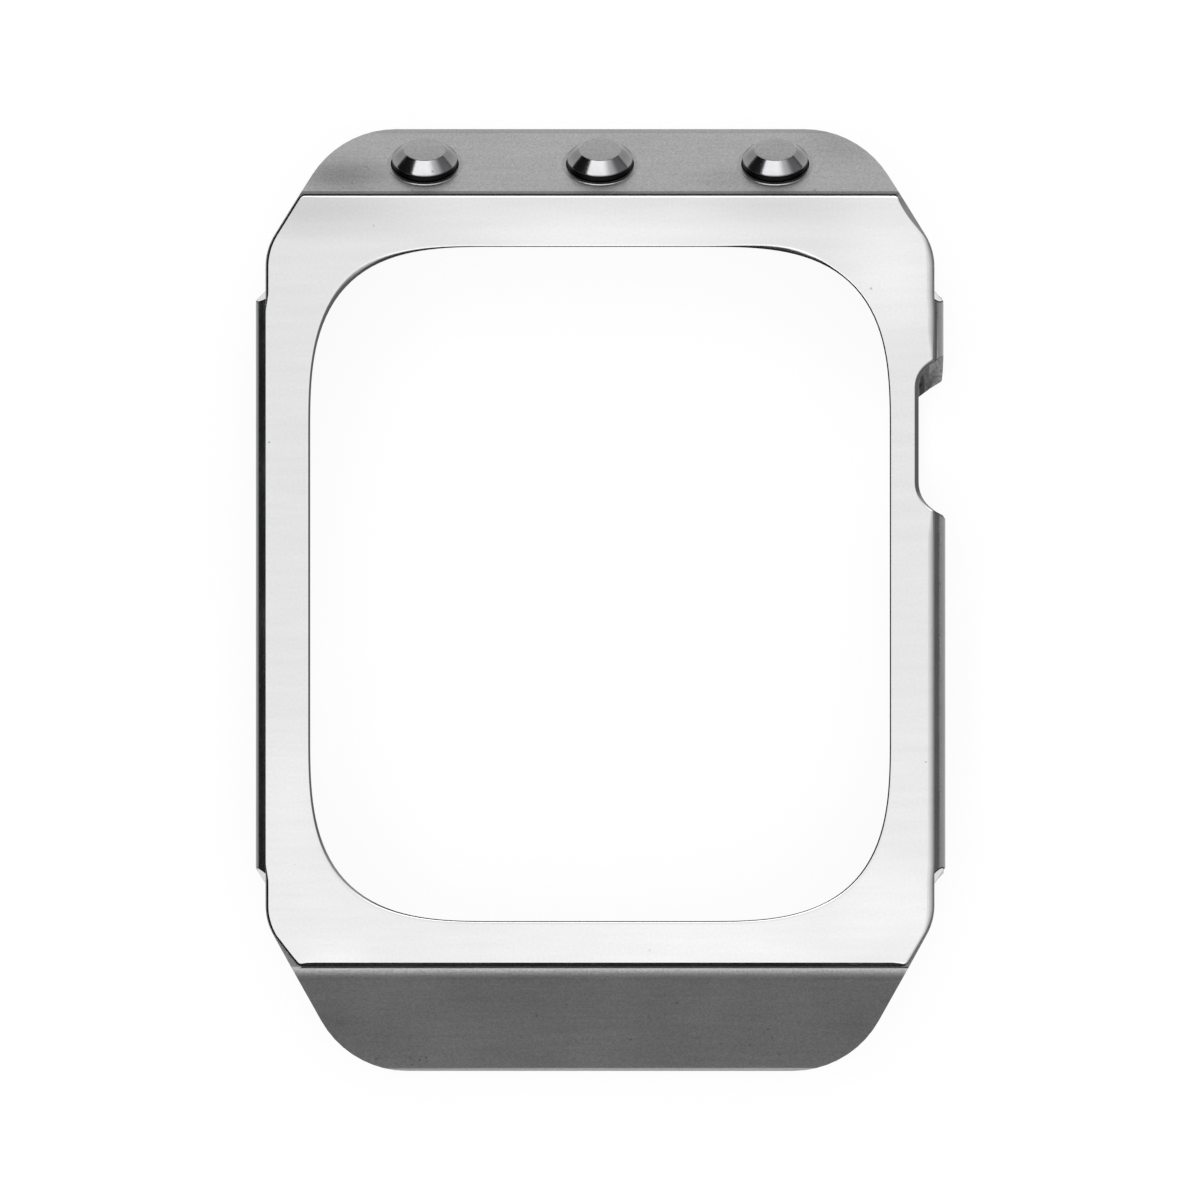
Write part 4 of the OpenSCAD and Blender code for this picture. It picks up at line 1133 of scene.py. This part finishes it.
panel = studio_piece("light_panel", material, PANEL_X, PANEL_Y, PANEL_UP)
panel.visible_camera = False
panel.visible_shadow = False

# %% [markdown]
# The cards draw the black lines along the plate's rolled edges, which mirror what lies low
# round the table. They are there for reflections only, so they neither show nor cast shadows.
# Towards the crown's side they turn grey.

# %% Dark cards round the table
CARD_X, CARD_Y, CARD_HIGH = 190.0, 210.0, 26.0
material, tree, place = new_material("dark_card")
parts = add(tree, "SeparateXYZ", {"Vector": place})
level = add(tree, "MapRange", {
    "Value": parts.outputs["X"], "From Min": 0.1, "From Max": 0.19,
    "To Min": 0.012, "To Max": 0.15})
add(tree, "OutputMaterial", {"Surface": add(tree, "Emission", {"Strength": level})})
cards = studio_piece(
    "dark_cards", material, (-CARD_X, CARD_X), (-CARD_Y, CARD_Y), 0.0, CARD_HIGH)
for way in ("visible_camera", "visible_diffuse", "visible_shadow"):
    setattr(cards, way, False)

# %% [markdown]
# Beyond the cards the room is dark, greyer on the crown's side and lighter in its far corner,
# and only the camera sees it as white. A wide lamp overhead keeps the plain level of light that
# matt pieces need. Mirrors don't see that lamp, because the panel already stands in its place.

# %% Room and lamp
world = bpy.data.worlds.new("studio")
bpy.context.scene.world = world
world.use_nodes = True
tree = world.node_tree
tree.nodes.clear()
parts = add(tree, "SeparateXYZ", {"Vector": add(tree, "TexCoord").outputs["Generated"]})
crown_side, corner_x, corner_y = (
    add(tree, "MapRange", {
        "Value": parts.outputs[axis], "From Min": low, "From Max": high,
        "To Min": before, "To Max": after})
    for axis, low, high, before, after in (
        ("X", 0.2, 0.8, 0.02, 0.18), ("X", 0.3, 0.65, 0.0, 0.24), ("Y", 0.25, 0.5, 0.0, 1.0)))
level = add(tree, "Math", {0: corner_x, 1: corner_y, 2: crown_side}, operation="MULTIPLY_ADD")
room = add(tree, "Background", {"Strength": level})
white = add(tree, "Background", {"Strength": 1.0})
surface = add(tree, "MixShader", {
    "Fac": add(tree, "LightPath").outputs["Is Camera Ray"], 1: room, 2: white})
add(tree, "OutputWorld", {"Surface": surface})

lamp_data = bpy.data.lights.new("overhead_lamp", "AREA")
lamp_data.shape = "RECTANGLE"
lamp_data.size, lamp_data.size_y = 0.9, 0.9
lamp_data.energy = 8.5
lamp = put("overhead_lamp", lamp_data)
lamp.location = (0, 0, 0.7)
lamp.visible_glossy = False
lamp.visible_camera = False
bpy.context.scene.view_settings.view_transform = "Standard"
